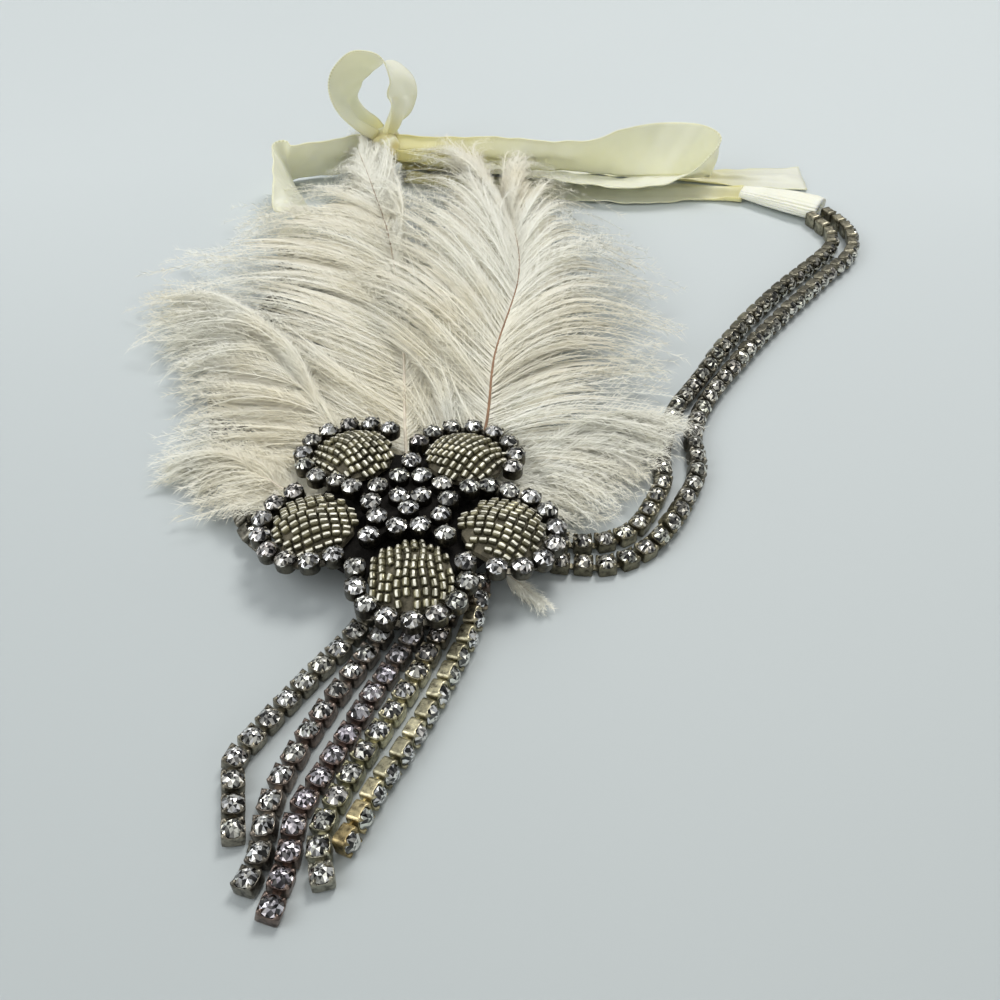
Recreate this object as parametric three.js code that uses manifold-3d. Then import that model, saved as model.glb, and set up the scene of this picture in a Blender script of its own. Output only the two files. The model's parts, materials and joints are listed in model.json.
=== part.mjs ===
// A flapper headband laid out on a table: a beaded flower with five stone-rimmed petals, five
// hanging strands of stones, ostrich plumes behind it, and on each side a double chain of stones
// that ends in a sewn ribbon sleeve. The two ribbons are tied in a bow that closes the head loop.
// X is to the right, Y is away from the wearer's front, Z is up.
import * as THREE from 'three';
import { mergeVertices } from 'three/addons/utils/BufferGeometryUtils.js';
import { ConvexGeometry } from 'three/addons/geometries/ConvexGeometry.js';
import Module from 'manifold-3d';

const wasm = await Module();
wasm.setup();

// Driving sizes, in millimetres and degrees

const GAP = 0.3; // between neighbouring pieces
const MESH_TOLERANCE = 0.003; // faces closer to flat than this are merged when solids are joined

// Cup chain: square settings with one round stone each, joined by short links
const PITCH = 4.8;
const CUP_SIDE = 4;
const CUP_DEPTH = 2.6;
const STONE_CROWN = 1.1;
const TABLE_SHARE = 0.66; // of the stone's width
const STONE_SIDES = 8;
const RIM_FLAT_SHARE = 0.45; // straight part of a square setting's rim
const LINK_WIDTH = 1.5;
const LINK_RISE = 0.9; // the link's middle above the floor of the setting
const LINK_BITE = 0.6; // how far a link reaches into a setting

// Left chains, which lie hidden below the plumes, as plain tubes
const TUBE_WIDTH = 4.2;
const TUBE_SIDES = 8;
const TUBE_STEPS = 18;
const STRAND_SPACING = 5.2;

// Flower
const FLOWER = new THREE.Vector2(-18.5, -13);
const BACKING_RADIUS = 20;
const BACKING_THICK = 1.4;
const BACKING_HEIGHT = 6; // its underside above the table
const BACKING_SIDES = 24;
const PETAL_REACH = 19.6; // from the flower's middle to a petal's
const PETAL_TILT = 6;
const PAD_RADIUS = 8.4;
const PAD_EDGE = 1.2;
const PAD_CROWN = 4;
const PAD_SIDES = 12;
const PAD_RINGS = [1, 0.75, 0.4, 0]; // shares of the radius, from the edge to the crown
const RIM_RADIUS = 11;
const RIM_LIFT = 0.4; // the rim's settings above the underside of the pad
const ROUND_CUP_WIDTH = 4.2;
const ROUND_CUP_DEPTH = 2.5;
const CENTRE_BASE_RADIUS = 7;
const CENTRE_BASE_THICK = 2.4;
const CENTRE_BASE_SIDES = 16;
const CENTRE_RINGS = [
  { radius: 2.75, count: 3, start: 30 },
  { radius: 8, count: 10, start: 2 },
];
const VALLEY_RADIUS = 12.7; // from the flower's middle to the stone between two petals
const ARM_WIDTH = 2; // of the base below that stone
const CUP_SINK = 0.6; // how far the centre's settings sink into their base

// Ribbon
const RIBBON_WIDTH = 16;
const RIBBON_THICK = 1;
const RIBBON_STEPS = 2; // from one row of a ribbon's table to the next
const KNOT_WIDTH = 9;
const KNOT_HEIGHT = 12;
const KNOT_SIDES = 14;
// Half of the knot's outline, from its waist: shares of the radius and of the width
const KNOT_OUTLINE = [[0.86, 0], [1, 0.36], [0.8, 0.5], [0, 0.5]];
const KNOT = new THREE.Vector3(-37, 161, 8);
const SLEEVE_HEIGHT = 5.4;
const SLEEVE_PLEATS = 6;
const SLEEVE_RIPPLE = 0.05;

// Plumes
const QUILL_WIDTH = 1.8;
const VANE_THICK = 4; // along the quill
const VANE_EDGE = 1; // at the tips of the barbs
const NOTCH_SHARE = 0.8; // of the reach, between one lock and the next
const BARB_CURL = 0.3; // share of the opening angle that the barbs lose on the way out
const DROOP_REACH = 12; // barbs at least this long sink to the table
const BARE_SECTION = 0.6; // share of the bare quill after which its vane begins to widen
const LOCK_FALL = 8; // how soon a vane sinks again beside a chain that it covers
const PLUME_FLOOR = 0.4; // the lowest point of a drooping tip
const COVERED_POINTS = 60; // along each thing that a vane passes over
const SECTOR_SIDES = 4; // of the far edge of the space that a plume keeps to

// Petals: bearing from the flower's middle, and the share of the reach
const PETALS = [
  { name: 'front', bearing: -86, reach: 1 },
  { name: 'right', bearing: -19, reach: 1.02 },
  { name: 'back_right', bearing: 56, reach: 1 },
  { name: 'back_left', bearing: 127, reach: 1.1 },
  { name: 'left', bearing: 195, reach: 1 },
];

// Strand routes: a few chosen points each, x, y and the height of the underside
const PENDANTS = [
  { route: [[-22.6, -30, 2], [-24.2, -34.4, 1.6], [-28.1, -41.6, 0.4], [-33.8, -49.5, 0], [-41.5, -61.7, 0],
    [-45.9, -69.7, 0], [-45.3, -75, 0], [-43.2, -86, 0]],
    rolls: [[0, 0], [1, -8]] },
  { route: [[-18, -30.4, 2], [-19.6, -35, 1.6], [-23.4, -43, 0.4], [-30.1, -56, 0], [-35.9, -69.7, 0],
    [-38.3, -79.1, 0], [-38.6, -88.4, 0], [-40.6, -95, 0]],
    rolls: [[0, 0], [1, 10]] },
  { route: [[-13.2, -30.4, 2], [-14.4, -35, 1.6], [-17.3, -43, 0.4], [-23.6, -56.3, 0], [-29.1, -69.7, 0],
    [-33.4, -80, 0], [-33.9, -88.6, 0], [-36.2, -99.6, 0]],
    rolls: [[0, 0], [1, -6]] },
  { route: [[-8.3, -29.6, 2], [-9.3, -34, 1.6], [-11.7, -41.6, 0.4], [-17.4, -55.4, 0], [-23.7, -68.7, 0],
    [-28.4, -80.5, 0], [-29.1, -87, 0], [-27.8, -94, 0]],
    rolls: [[0, 0], [1, 8]] },
  { route: [[-3.9, -26.4, 2], [-4, -30.6, 1.6], [-5.8, -40.4, 0.4], [-10.8, -54, 0], [-16.6, -67.2, 0],
    [-21, -75.8, 0], [-25.8, -87.5, 0]],
    rolls: [[0, 0], [0.05, 0], [0.14, -70], [0.3, -82], [1, -84]] },
];

const RIGHT_STRANDS = [
  { name: 'right_chain_outer',
    route: [[-4, -18.5, 1.9], [5, -20.5, 0.9], [14.7, -21.6, 0], [23.2, -21.3, 0], [31, -16.6, 0],
      [36.5, -9.2, 0], [40.2, -2, 0], [43.2, 4.8, 0], [44.3, 11, 0], [44.7, 20.5, 0], [49, 32.4, 0],
      [57.5, 46.6, 0], [66.4, 60, 0], [77.9, 75.3, 0], [90.4, 91.3, 0], [98.9, 101.8, 0], [102.4, 112, 0],
      [101.3, 121, 0], [97.6, 128.8, 0]],
    rolls: [[0, 0], [0.17, 0], [0.22, 48], [0.29, 16], [0.5, 30], [0.6, 70], [1, 88]] },
  { name: 'right_chain_inner',
    route: [[-4, -12.2, 1.9], [5, -14, 0.9], [14.6, -15.3, 0], [21.8, -14.8, 0], [28.2, -11.1, 0],
      [33.2, -2.8, 0], [35.9, 4.3, 0], [36.4, 12, 0], [38.4, 21, 0], [42.6, 32, 0], [49.2, 42.8, 0],
      [58.6, 59, 0], [68.4, 73.3, 0], [78.4, 86.5, 0], [89.2, 99, 0], [95.2, 107.5, 0], [96.6, 115, 0],
      [94.8, 121, 0], [92.6, 126, 0]],
    rolls: [[0, 0], [0.18, 0], [0.5, 30], [0.6, 68], [1, 86]] },
];

const BEND_POINT = 4; // of the right strands' routes

const LEFT_ROUTE = [[-34, -17.5, 2.1], [-43, -18.4, 2.1], [-49.6, -13.5, 2.1], [-54, -2, 2.1], [-60, 13, 2.1],
  [-65, 32, 2.1], [-65, 54, 2.1], [-60, 72, 2.1], [-57, 88, 2.1], [-58.7, 103.6, 2.1]];

// Ribbon tables: x, y, z of the middle line, the direction across, and the share of the width
const RIBBONS = {
  ribbon_left: [
    [-60, 116, 6.6, -0.75, 0, 0.66, 0.8], [-62, 128, 7.2, -0.65, 0, 0.76, 1],
    [-66, 143, 7.9, -0.35, -0.25, 0.9, 1], [-67.2, 148.8, 8, -0.1, -0.42, 0.9, 1],
    [-63.6, 151, 8, 0.1, -0.45, 0.89, 1], [-54, 153.6, 8, 0.05, -0.42, 0.9, 1],
    [-42.1, 159.4, 8, 0, -0.2, 0.98, 0.6]],
  bow_loop_top: [
    [-39.6, 161.4, 15.2, 0.2, -0.97, 0, 0.5], [-45, 163, 17.5, 0.35, -0.93, -0.1, 0.85],
    [-48.6, 164.5, 22.5, 0.42, -0.9, 0, 1], [-47.4, 166, 28.5, 0.38, -0.9, -0.1, 1],
    [-42.5, 167.5, 32.6, 0.15, -0.95, -0.2, 1], [-36.5, 167.5, 32.8, -0.15, -0.95, -0.2, 1],
    [-31.6, 166.5, 28.8, -0.4, -0.9, -0.1, 1], [-30.6, 165, 23, -0.42, -0.9, 0, 1],
    [-32, 163, 17.8, -0.35, -0.93, 0.1, 0.85], [-35.2, 161.4, 15.2, -0.2, -0.97, 0, 0.5]],
  bow_loop_right: [
    [-31.2, 161, 7.6, 0, -0.2, 0.98, 0.5], [-22, 160.5, 6.8, 0, 0, 1, 0.56],
    [-6, 158.5, 7, 0, -0.2, 0.98, 0.7], [12, 154.4, 8.4, 0, -0.5, 0.87, 0.9],
    [28, 152, 9.2, 0, -0.5, 0.87, 1], [42, 153.4, 10.2, 0, 0.1, 0.99, 1],
    [54, 154.8, 10.4, -0.05, 0.4, 0.9, 1], [63, 153.4, 10.4, 0, 0.1, 0.99, 1],
    [67, 150.2, 10.2, 0.1, -0.3, 0.95, 1], [65.4, 147.4, 8.4, 0, -0.6, 0.8, 1],
    [58, 146.4, 5.6, 0, -0.85, 0.5, 1], [40, 143.6, 4.4, 0, -0.97, 0.25, 1],
    [16, 148.6, 4.6, 0, -0.95, 0.3, 0.95], [-4, 152.6, 5, 0, -0.92, 0.4, 0.8],
    [-30.6, 156.6, 6, 0, -0.8, 0.6, 0.45]],
  bow_tail_right: [
    [-30, 162.5, 0.6, 0, 1, 0, 0.4], [-10, 164, 0.6, 0, 1, 0, 0.75], [30, 163.6, 0.6, 0, 1, 0, 0.9],
    [52, 160, 0.6, 0, 1, 0, 0.75], [67, 156.2, 0.6, 0, 1, 0, 0.6], [80, 154.8, 0.6, 0, 1, 0, 0.8],
    [97, 154.4, 0.6, 0.1, 1, 0, 1]],
  ribbon_right: [
    [-30, 154.6, 0.6, 0, 1, 0, 0.4], [-8, 150.6, 0.6, 0, 1, 0, 0.7], [16, 147, 0.6, 0, 1, 0, 0.85],
    [40, 144.4, 0.6, 0, 1, 0, 0.9], [57, 145, 0.6, 0, 1, 0, 0.75], [67, 144.2, 1, 0.2, 1, 0, 0.62],
    [75.4, 141.4, 2.6, 0.4, 1, 0, 0.5]],
  bow_tail_left: [
    [-38, 161.6, 1.3, 1, 0.2, 0, 0.4], [-39.4, 154, 0.6, 1, 0.15, 0, 0.6],
    [-39.4, 149, 0.6, 1, 0.1, 0, 0.7], [-39, 143, 0.6, 1, 0.05, 0, 0.8]],
};

// Sleeve tables: x, y, z of the middle and the width
const SLEEVES = {
  sleeve_right: [
    [94.4, 130.8, 2.8, 11.6], [88.4, 134.2, 3, 10.6], [81.5, 138.2, 3, 9.4], [76.6, 141, 2.8, 8]],
  sleeve_left: [
    [-58.9, 104.4, 2.8, 11.4], [-59.6, 108, 3, 10.8], [-60, 112, 3, 9.6], [-60, 114.6, 3, 8.4]],
};

// Plumes: the sector that each keeps to, the quill's route with the height of its middle, the share of
// the quill without barbs, and from there to the tip the reach of the barbs and their opening angle
const PLUMES = [
  { name: 'plume_right', sector: [-18, 50], locks: 5, bare: 0.3, opening: [62, 14],
    left: [30, 34, 12], right: [18, 27, 12],
    quill: [[-10, -7, 4.2], [4, 3, 3.8], [17, 13, 6], [30, 26, 8], [39, 38, 7]] },
  { name: 'plume_main', sector: [50.6, 84], locks: 7, bare: 0.17, opening: [66, 12],
    left: [26, 40, 16], right: [30, 54, 16],
    quill: [[-13.4, -3.4, 4.2], [-4, 13.9, 4.2], [-1.2, 37.1, 9], [4.6, 66.2, 12], [4, 93, 12],
      [2, 122, 9]] },
  { name: 'plume_back', sector: [84.6, 104], locks: 6, bare: 0.2, opening: [54, 12],
    left: [24, 40, 14], right: [20, 36, 14],
    quill: [[-20, -1, 4.2], [-22, 22, 4.2], [-24, 50, 10], [-30, 90, 13], [-35, 122, 11]] },
  { name: 'plume_left', sector: [104.6, 146], locks: 7, bare: 0.35, opening: [64, 14],
    left: [26, 44, 16], right: [38, 74, 20],
    quill: [[-27, -5.4, 4.2], [-35, 8, 4.2], [-50, 33, 10], [-67, 58, 13], [-82, 76, 10]] },
  { name: 'plume_low', sector: [146.6, 200], locks: 4, bare: 0.37, opening: [64, 16],
    left: [16, 19, 8], right: [28, 36, 12],
    quill: [[-30.6, -9.6, 4.2], [-42, -5.6, 5], [-56, 1, 9], [-68, 11, 8]] },
];

const TUFT = { name: 'tuft_low', locks: 2, bare: 0.3, opening: [50, 20], left: [3, 5, 3], right: [3, 5, 3],
  quill: [[-3, -23, 4.7], [2.6, -27, 3], [7, -31, 2]] };

// Space kept free for the left ribbon where it stands on edge: the middle and the size
const RIBBON_LANE = { middle: [-63, 135, 10], size: [21, 44, 60] };

// Colours
const PEWTER = { color: 0x6f6a60, roughness: 0.35, metalness: 0.9 };
const BEADS = { color: 0xb9ad8c, roughness: 0.35, metalness: 0.4 };
const FELT = { color: 0x2a2723, roughness: 0.95, metalness: 0 };
const PLUME_WHITE = { color: 0xf3ecdc, roughness: 0.95, metalness: 0 };
const SATIN = { color: 0xe9e3b8, roughness: 0.45, metalness: 0 };

// Closed meshes to solids for joining and cutting, and back

function solidOf(geometry) {
  const bare = geometry.clone();
  bare.deleteAttribute('normal');
  bare.deleteAttribute('uv');
  const merged = mergeVertices(bare, 1e-4);
  return new wasm.Manifold(new wasm.Mesh({
    numProp: 3,
    vertProperties: new Float32Array(merged.attributes.position.array),
    triVerts: new Uint32Array(merged.index.array),
    tolerance: MESH_TOLERANCE,
  }));
}

function geometryOf(solid) {
  const mesh = solid.getMesh();
  const geometry = new THREE.BufferGeometry();
  geometry.setAttribute('position', new THREE.BufferAttribute(new Float32Array(mesh.vertProperties), 3));
  geometry.setIndex(new THREE.BufferAttribute(new Uint32Array(mesh.triVerts), 1));
  geometry.computeVertexNormals();
  return geometry;
}

function joined(geometries) {
  return geometries.map(solidOf).reduce((sum, next) => sum.add(next));
}

// Rings of points joined into one closed skin: every ring has the same number of points
function loft(rings) {
  const sides = rings[0].length;
  const index = [];
  for (let ring = 0; ring + 1 < rings.length; ring += 1) {
    for (let side = 0; side < sides; side += 1) {
      const a = ring * sides + side;
      const b = ring * sides + (side + 1) % sides;
      index.push(a, b, b + sides, a, b + sides, a + sides);
    }
  }
  const last = (rings.length - 1) * sides;
  for (let side = 1; side + 1 < sides; side += 1) {
    index.push(0, side + 1, side);
    index.push(last, last + side, last + side + 1);
  }
  const geometry = new THREE.BufferGeometry();
  const coordinates = rings.flat().flatMap((point) => point.toArray());
  geometry.setAttribute('position', new THREE.Float32BufferAttribute(coordinates, 3));
  geometry.setIndex(index);
  return geometry;
}

const vectors = (rows) => rows.map(([x, y, z]) => new THREE.Vector3(x, y, z));
const smoothPath = (points) => new THREE.CatmullRomCurve3(points, false, 'catmullrom', 0.5);
const polar = (radius, degrees) => new THREE.Vector2(radius, 0)
  .rotateAround(new THREE.Vector2(), THREE.MathUtils.degToRad(degrees));

// A value read from rows of [share, value], in a straight line between them
function between(rows, share) {
  const next = Math.max(1, rows.findIndex((row) => row[0] >= share));
  const [low, high] = [rows[next - 1], rows[next]];
  return THREE.MathUtils.mapLinear(share, low[0], high[0], low[1], high[1]);
}

// Cut stones fused to their settings: an eight-sided stone with a square table fills the rim

const corners = (radius, sides, turn, height) => Array.from({ length: sides }, (_, i) => {
  const corner = polar(radius, (i + turn) * 360 / sides);
  return new THREE.Vector3(corner.x, corner.y, height);
});

function squareCup() {
  const half = CUP_SIDE / 2;
  const flat = half * RIM_FLAT_SHARE;
  const rim = [[half, flat], [flat, half], [-flat, half], [-half, flat],
    [-half, -flat], [-flat, -half], [flat, -half], [half, -flat]];
  return new ConvexGeometry([
    ...corners(CUP_SIDE * Math.SQRT1_2, 4, 0.5, 0),
    ...rim.map(([x, y]) => new THREE.Vector3(x, y, CUP_DEPTH)),
    ...corners(half * TABLE_SHARE, 4, 0, CUP_DEPTH + STONE_CROWN),
  ]);
}

function roundCup() {
  const radius = ROUND_CUP_WIDTH / 2;
  return new ConvexGeometry([
    ...corners(radius, STONE_SIDES, 0.5, 0),
    ...corners(radius, STONE_SIDES, 0.5, ROUND_CUP_DEPTH),
    ...corners(radius * TABLE_SHARE, STONE_SIDES / 2, 0, ROUND_CUP_DEPTH + STONE_CROWN),
  ]);
}

const SQUARE_CUP = squareCup();
const ROUND_CUP = roundCup();

// A link between two settings, from inside one to inside the next
function linkBar(from, to, cupWidth) {
  const inset = cupWidth / 2 - LINK_BITE;
  const start = new THREE.Vector3(inset, 0, LINK_RISE).applyMatrix4(from);
  const end = new THREE.Vector3(-inset, 0, LINK_RISE).applyMatrix4(to);
  const along = end.clone().sub(start);
  const length = along.length();
  along.normalize();
  const lean = new THREE.Vector3().setFromMatrixColumn(from, 2);
  const across = new THREE.Vector3().crossVectors(lean, along).normalize();
  const up = new THREE.Vector3().crossVectors(along, across);
  const middle = start.add(end).multiplyScalar(0.5);
  // A three-sided bar with its ridge up
  return new THREE.CylinderGeometry(LINK_WIDTH / 2, LINK_WIDTH / 2, length, 3)
    .rotateZ(-Math.PI / 2).rotateX(Math.PI / 2)
    .applyMatrix4(new THREE.Matrix4().makeBasis(along, across, up).setPosition(middle));
}

function cupRow(frames, cup, cupWidth) {
  const cups = frames.map((frame) => cup.clone().applyMatrix4(frame));
  const links = frames.slice(1).map((frame, i) => linkBar(frames[i], frame, cupWidth));
  return geometryOf(joined([...cups, ...links]));
}

// A setting that faces up, or rolled onto its side, with its lowest corner at the route's height
function seatedFrame(point, tangent, roll) {
  const side = new THREE.Vector3(-tangent.y, tangent.x, 0).normalize();
  const up = new THREE.Vector3().crossVectors(tangent, side);
  const frame = new THREE.Matrix4().makeBasis(tangent, side, up)
    .multiply(new THREE.Matrix4().makeRotationX(THREE.MathUtils.degToRad(roll)));
  const half = CUP_SIDE / 2;
  const top = CUP_DEPTH + STONE_CROWN;
  const outline = [[half, 0], [half, CUP_DEPTH], [-half, 0], [-half, CUP_DEPTH], [0, top]];
  const heights = outline.flatMap(([y, z]) => [half, -half]
    .map((x) => new THREE.Vector3(x, y, z).applyMatrix4(frame).z));
  // The setting's middle stays over the route when it lies on its side
  const middle = new THREE.Vector3(0, 0, CUP_DEPTH / 2).applyMatrix4(frame);
  return frame.setPosition(point.x - middle.x, point.y - middle.y, point.z - Math.min(...heights));
}

function chain({ route, rolls }) {
  const path = smoothPath(vectors(route));
  const count = Math.round(path.getLength() / PITCH);
  const frames = Array.from({ length: count }, (_, i) => {
    const share = (i + 0.5) / count;
    return seatedFrame(path.getPointAt(share), path.getTangentAt(share), between(rolls, share));
  });
  return cupRow(frames, SQUARE_CUP, CUP_SIDE);
}

// Left chains: two tubes side by side along one route
function tube(shift) {
  const route = vectors(LEFT_ROUTE);
  const middle = smoothPath(route);
  const shifted = route.map((point, i) => {
    const tangent = middle.getTangent(i / (route.length - 1));
    return new THREE.Vector3(point.x - tangent.y * shift, point.y + tangent.x * shift, point.z);
  });
  const corner = (_, i) => polar(TUBE_WIDTH / 2, i * 360 / TUBE_SIDES);
  return new THREE.ExtrudeGeometry(new THREE.Shape(Array.from({ length: TUBE_SIDES }, corner)), {
    extrudePath: smoothPath(shifted), steps: TUBE_STEPS, bevelEnabled: false,
  });
}

// Flower

function backing() {
  return new THREE.CylinderGeometry(BACKING_RADIUS, BACKING_RADIUS, BACKING_THICK, BACKING_SIDES)
    .rotateX(Math.PI / 2).translate(FLOWER.x, FLOWER.y, BACKING_HEIGHT + BACKING_THICK / 2);
}

const PETAL_HEIGHT = BACKING_HEIGHT + BACKING_THICK + GAP;
const CENTRE_TOP = PETAL_HEIGHT + CENTRE_BASE_THICK;

// The petal's own frame: its X axis points away from the flower's middle and dips outward
function petalFrame({ bearing, reach }) {
  const middle = polar(PETAL_REACH * reach, bearing).add(FLOWER);
  return new THREE.Matrix4().makeTranslation(middle.x, middle.y, PETAL_HEIGHT)
    .multiply(new THREE.Matrix4().makeRotationZ(THREE.MathUtils.degToRad(bearing)))
    .multiply(new THREE.Matrix4().makeRotationY(THREE.MathUtils.degToRad(PETAL_TILT)));
}

function petalPad(petal) {
  const crown = PAD_RINGS.map((share) => new THREE.Vector2(
    PAD_RADIUS * share, PAD_EDGE + (PAD_CROWN - PAD_EDGE) * (1 - share * share)));
  const profile = [new THREE.Vector2(0, 0), new THREE.Vector2(PAD_RADIUS, 0), ...crown];
  return new THREE.LatheGeometry(profile, PAD_SIDES).rotateX(Math.PI / 2).applyMatrix4(petalFrame(petal));
}

const placeOf = (frame) => new THREE.Vector3().setFromMatrixPosition(frame);
const isClear = (frame, taken) => taken.every((other) => {
  const [a, b] = [placeOf(frame), placeOf(other)];
  return Math.hypot(a.x - b.x, a.y - b.y) > ROUND_CUP_WIDTH + GAP;
});

// Settings round a petal, from its outermost point both ways until they meet a neighbour's
function rimFrames(petal, taken) {
  const count = Math.round(2 * Math.PI * RIM_RADIUS / PITCH);
  const at = (place) => {
    const turn = place * 360 / count;
    const spot = polar(RIM_RADIUS, turn);
    return petalFrame(petal)
      .multiply(new THREE.Matrix4().makeTranslation(spot.x, spot.y, RIM_LIFT))
      .multiply(new THREE.Matrix4().makeRotationZ(THREE.MathUtils.degToRad(turn + 90)));
  };
  const frames = [at(0)];
  for (let place = 1; place < count / 2 && isClear(at(place), taken); place += 1) frames.push(at(place));
  for (let place = -1; place > -count / 2 && isClear(at(place), taken); place -= 1) frames.unshift(at(place));
  return frames;
}

const VALLEYS = PETALS.map(({ bearing }, i) => {
  const next = PETALS[(i + 1) % PETALS.length].bearing;
  return (bearing + next + (next < bearing ? 360 : 0)) / 2;
});

function centreFrames() {
  const rings = CENTRE_RINGS.flatMap(({ radius, count, start }) => Array.from({ length: count },
    (_, i) => [radius, start + i * 360 / count]));
  const valleys = VALLEYS.map((bearing) => [VALLEY_RADIUS, bearing]);
  return [...rings, ...valleys].map(([radius, bearing]) => {
    const spot = polar(radius, bearing).add(FLOWER);
    return new THREE.Matrix4().makeTranslation(spot.x, spot.y, CENTRE_TOP - CUP_SINK)
      .multiply(new THREE.Matrix4().makeRotationZ(THREE.MathUtils.degToRad(bearing)));
  });
}

function flowerCentre(frames) {
  const middle = PETAL_HEIGHT + CENTRE_BASE_THICK / 2;
  const base = new THREE.CylinderGeometry(
    CENTRE_BASE_RADIUS, CENTRE_BASE_RADIUS, CENTRE_BASE_THICK, CENTRE_BASE_SIDES)
    .rotateX(Math.PI / 2).translate(FLOWER.x, FLOWER.y, middle);
  const arms = VALLEYS.map((bearing) => new THREE.BoxGeometry(VALLEY_RADIUS, ARM_WIDTH, CENTRE_BASE_THICK)
    .translate(VALLEY_RADIUS / 2, 0, middle)
    .rotateZ(THREE.MathUtils.degToRad(bearing)).translate(FLOWER.x, FLOWER.y, 0));
  return geometryOf(joined([base, ...arms, ...frames.map((frame) => ROUND_CUP.clone().applyMatrix4(frame))]));
}

// Ribbon: a thin strip whose section turns along the way
function ribbon(rows) {
  const path = smoothPath(vectors(rows));
  const across = smoothPath(rows.map((row) => new THREE.Vector3(row[3], row[4], row[5])));
  const shares = smoothPath(rows.map((row) => new THREE.Vector3(row[6], 0, 0)));
  const steps = (rows.length - 1) * RIBBON_STEPS;
  const rings = Array.from({ length: steps + 1 }, (_, i) => {
    const middle = path.getPoint(i / steps);
    const along = path.getTangent(i / steps);
    const wide = across.getPoint(i / steps);
    wide.addScaledVector(along, -wide.dot(along)).normalize();
    const out = new THREE.Vector3().crossVectors(along, wide);
    const half = RIBBON_WIDTH / 2 * shares.getPoint(i / steps).x;
    return [[-1, -1], [1, -1], [1, 1], [-1, 1]].map(([w, t]) => middle.clone()
      .addScaledVector(wide, w * half).addScaledVector(out, t * RIBBON_THICK / 2));
  });
  return loft(rings);
}

function knot() {
  const before = KNOT_OUTLINE.slice(1).reverse().map(([radius, along]) => [radius, -along]);
  const profile = [...before, ...KNOT_OUTLINE]
    .map(([radius, along]) => new THREE.Vector2(radius * KNOT_HEIGHT / 2, along * KNOT_WIDTH));
  return new THREE.LatheGeometry(profile, KNOT_SIDES).rotateZ(-Math.PI / 2).translate(KNOT.x, KNOT.y, KNOT.z);
}

// Pleated sleeve: a flattened tube with shallow ripples
function sleeve(rows) {
  const path = smoothPath(vectors(rows));
  const sides = SLEEVE_PLEATS * 2;
  const rings = rows.map((row, i) => {
    const along = path.getTangent(i / (rows.length - 1));
    const wide = new THREE.Vector3(-along.y, along.x, 0).normalize();
    const middle = new THREE.Vector3(...row);
    return Array.from({ length: sides }, (_, side) => {
      const ripple = 1 - SLEEVE_RIPPLE * (side % 2);
      const angle = side * 2 * Math.PI / sides;
      return middle.clone().addScaledVector(wide, Math.cos(angle) * ripple * row[3] / 2)
        .add(new THREE.Vector3(0, 0, Math.sin(angle) * ripple * SLEEVE_HEIGHT / 2));
    });
  });
  return loft(rings);
}

// Plumes

// How high the underside of a vane has to be to pass over what lies below it. The right strands count
// from where they bend away from the flower
const COVERED = [
  { route: LEFT_ROUTE, half: (STRAND_SPACING + TUBE_WIDTH) / 2, height: TUBE_WIDTH },
  ...RIGHT_STRANDS.map(({ route }) => ({
    route: route.slice(BEND_POINT), half: CUP_SIDE / 2, height: CUP_SIDE + STONE_CROWN,
  })),
  { route: SLEEVES.sleeve_left, half: SLEEVES.sleeve_left[0][3] / 2, height: SLEEVE_HEIGHT },
].map(({ route, half, height }) => ({
  half, height, points: smoothPath(vectors(route)).getSpacedPoints(COVERED_POINTS),
}));

function liftOver(x, y, vaneReach) {
  return Math.min(1, vaneReach / VANE_THICK) * Math.max(...COVERED.map(({ half, height, points }) => {
    const distance = Math.min(...points.map((point) => Math.hypot(point.x - x, point.y - y)));
    const reach = half + LOCK_FALL;
    return (height + 2 * GAP) * (1 - THREE.MathUtils.smoothstep(distance, reach, reach + LOCK_FALL));
  }));
}

const vaneThick = (reach, part) => Math.min(2 * reach, THREE.MathUtils.lerp(VANE_THICK, VANE_EDGE, part));

// Top and underside of a vane at a part of the way out along its barbs
function vanePair(root, bearing, reach, part) {
  const x = root.x + Math.cos(bearing) * reach * part;
  const y = root.y + Math.sin(bearing) * reach * part;
  const droop = part ** 2 * Math.min(1, reach / DROOP_REACH);
  const resting = THREE.MathUtils.lerp(root.z - vaneThick(reach, 0) / 2, PLUME_FLOOR, droop);
  const low = Math.max(resting, liftOver(x, y, reach));
  return [new THREE.Vector3(x, y, low + vaneThick(reach, part)), new THREE.Vector3(x, y, low)];
}

function vaneSection(path, share, opening, [left, right]) {
  const root = path.getPointAt(share);
  const ahead = path.getTangentAt(share);
  const heading = Math.atan2(ahead.y, ahead.x);
  const turn = (part) => THREE.MathUtils.degToRad(opening) * (1 - BARB_CURL * part);
  const [leftIn, leftOut] = [0.5, 1].map((part) => vanePair(root, heading + turn(part), left, part));
  const [rightIn, rightOut] = [0.5, 1].map((part) => vanePair(root, heading - turn(part), right, part));
  const widest = Math.max(left, right);
  const rise = new THREE.Vector3(0, 0, vaneThick(widest, 0) / 2);
  root.z = Math.max(root.z, liftOver(root.x, root.y, widest) + rise.z);
  return [root.clone().add(rise), rightIn[0], rightOut[0], rightOut[1], rightIn[1],
    root.clone().sub(rise), leftIn[1], leftOut[1], leftOut[0], leftIn[0]];
}

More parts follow.
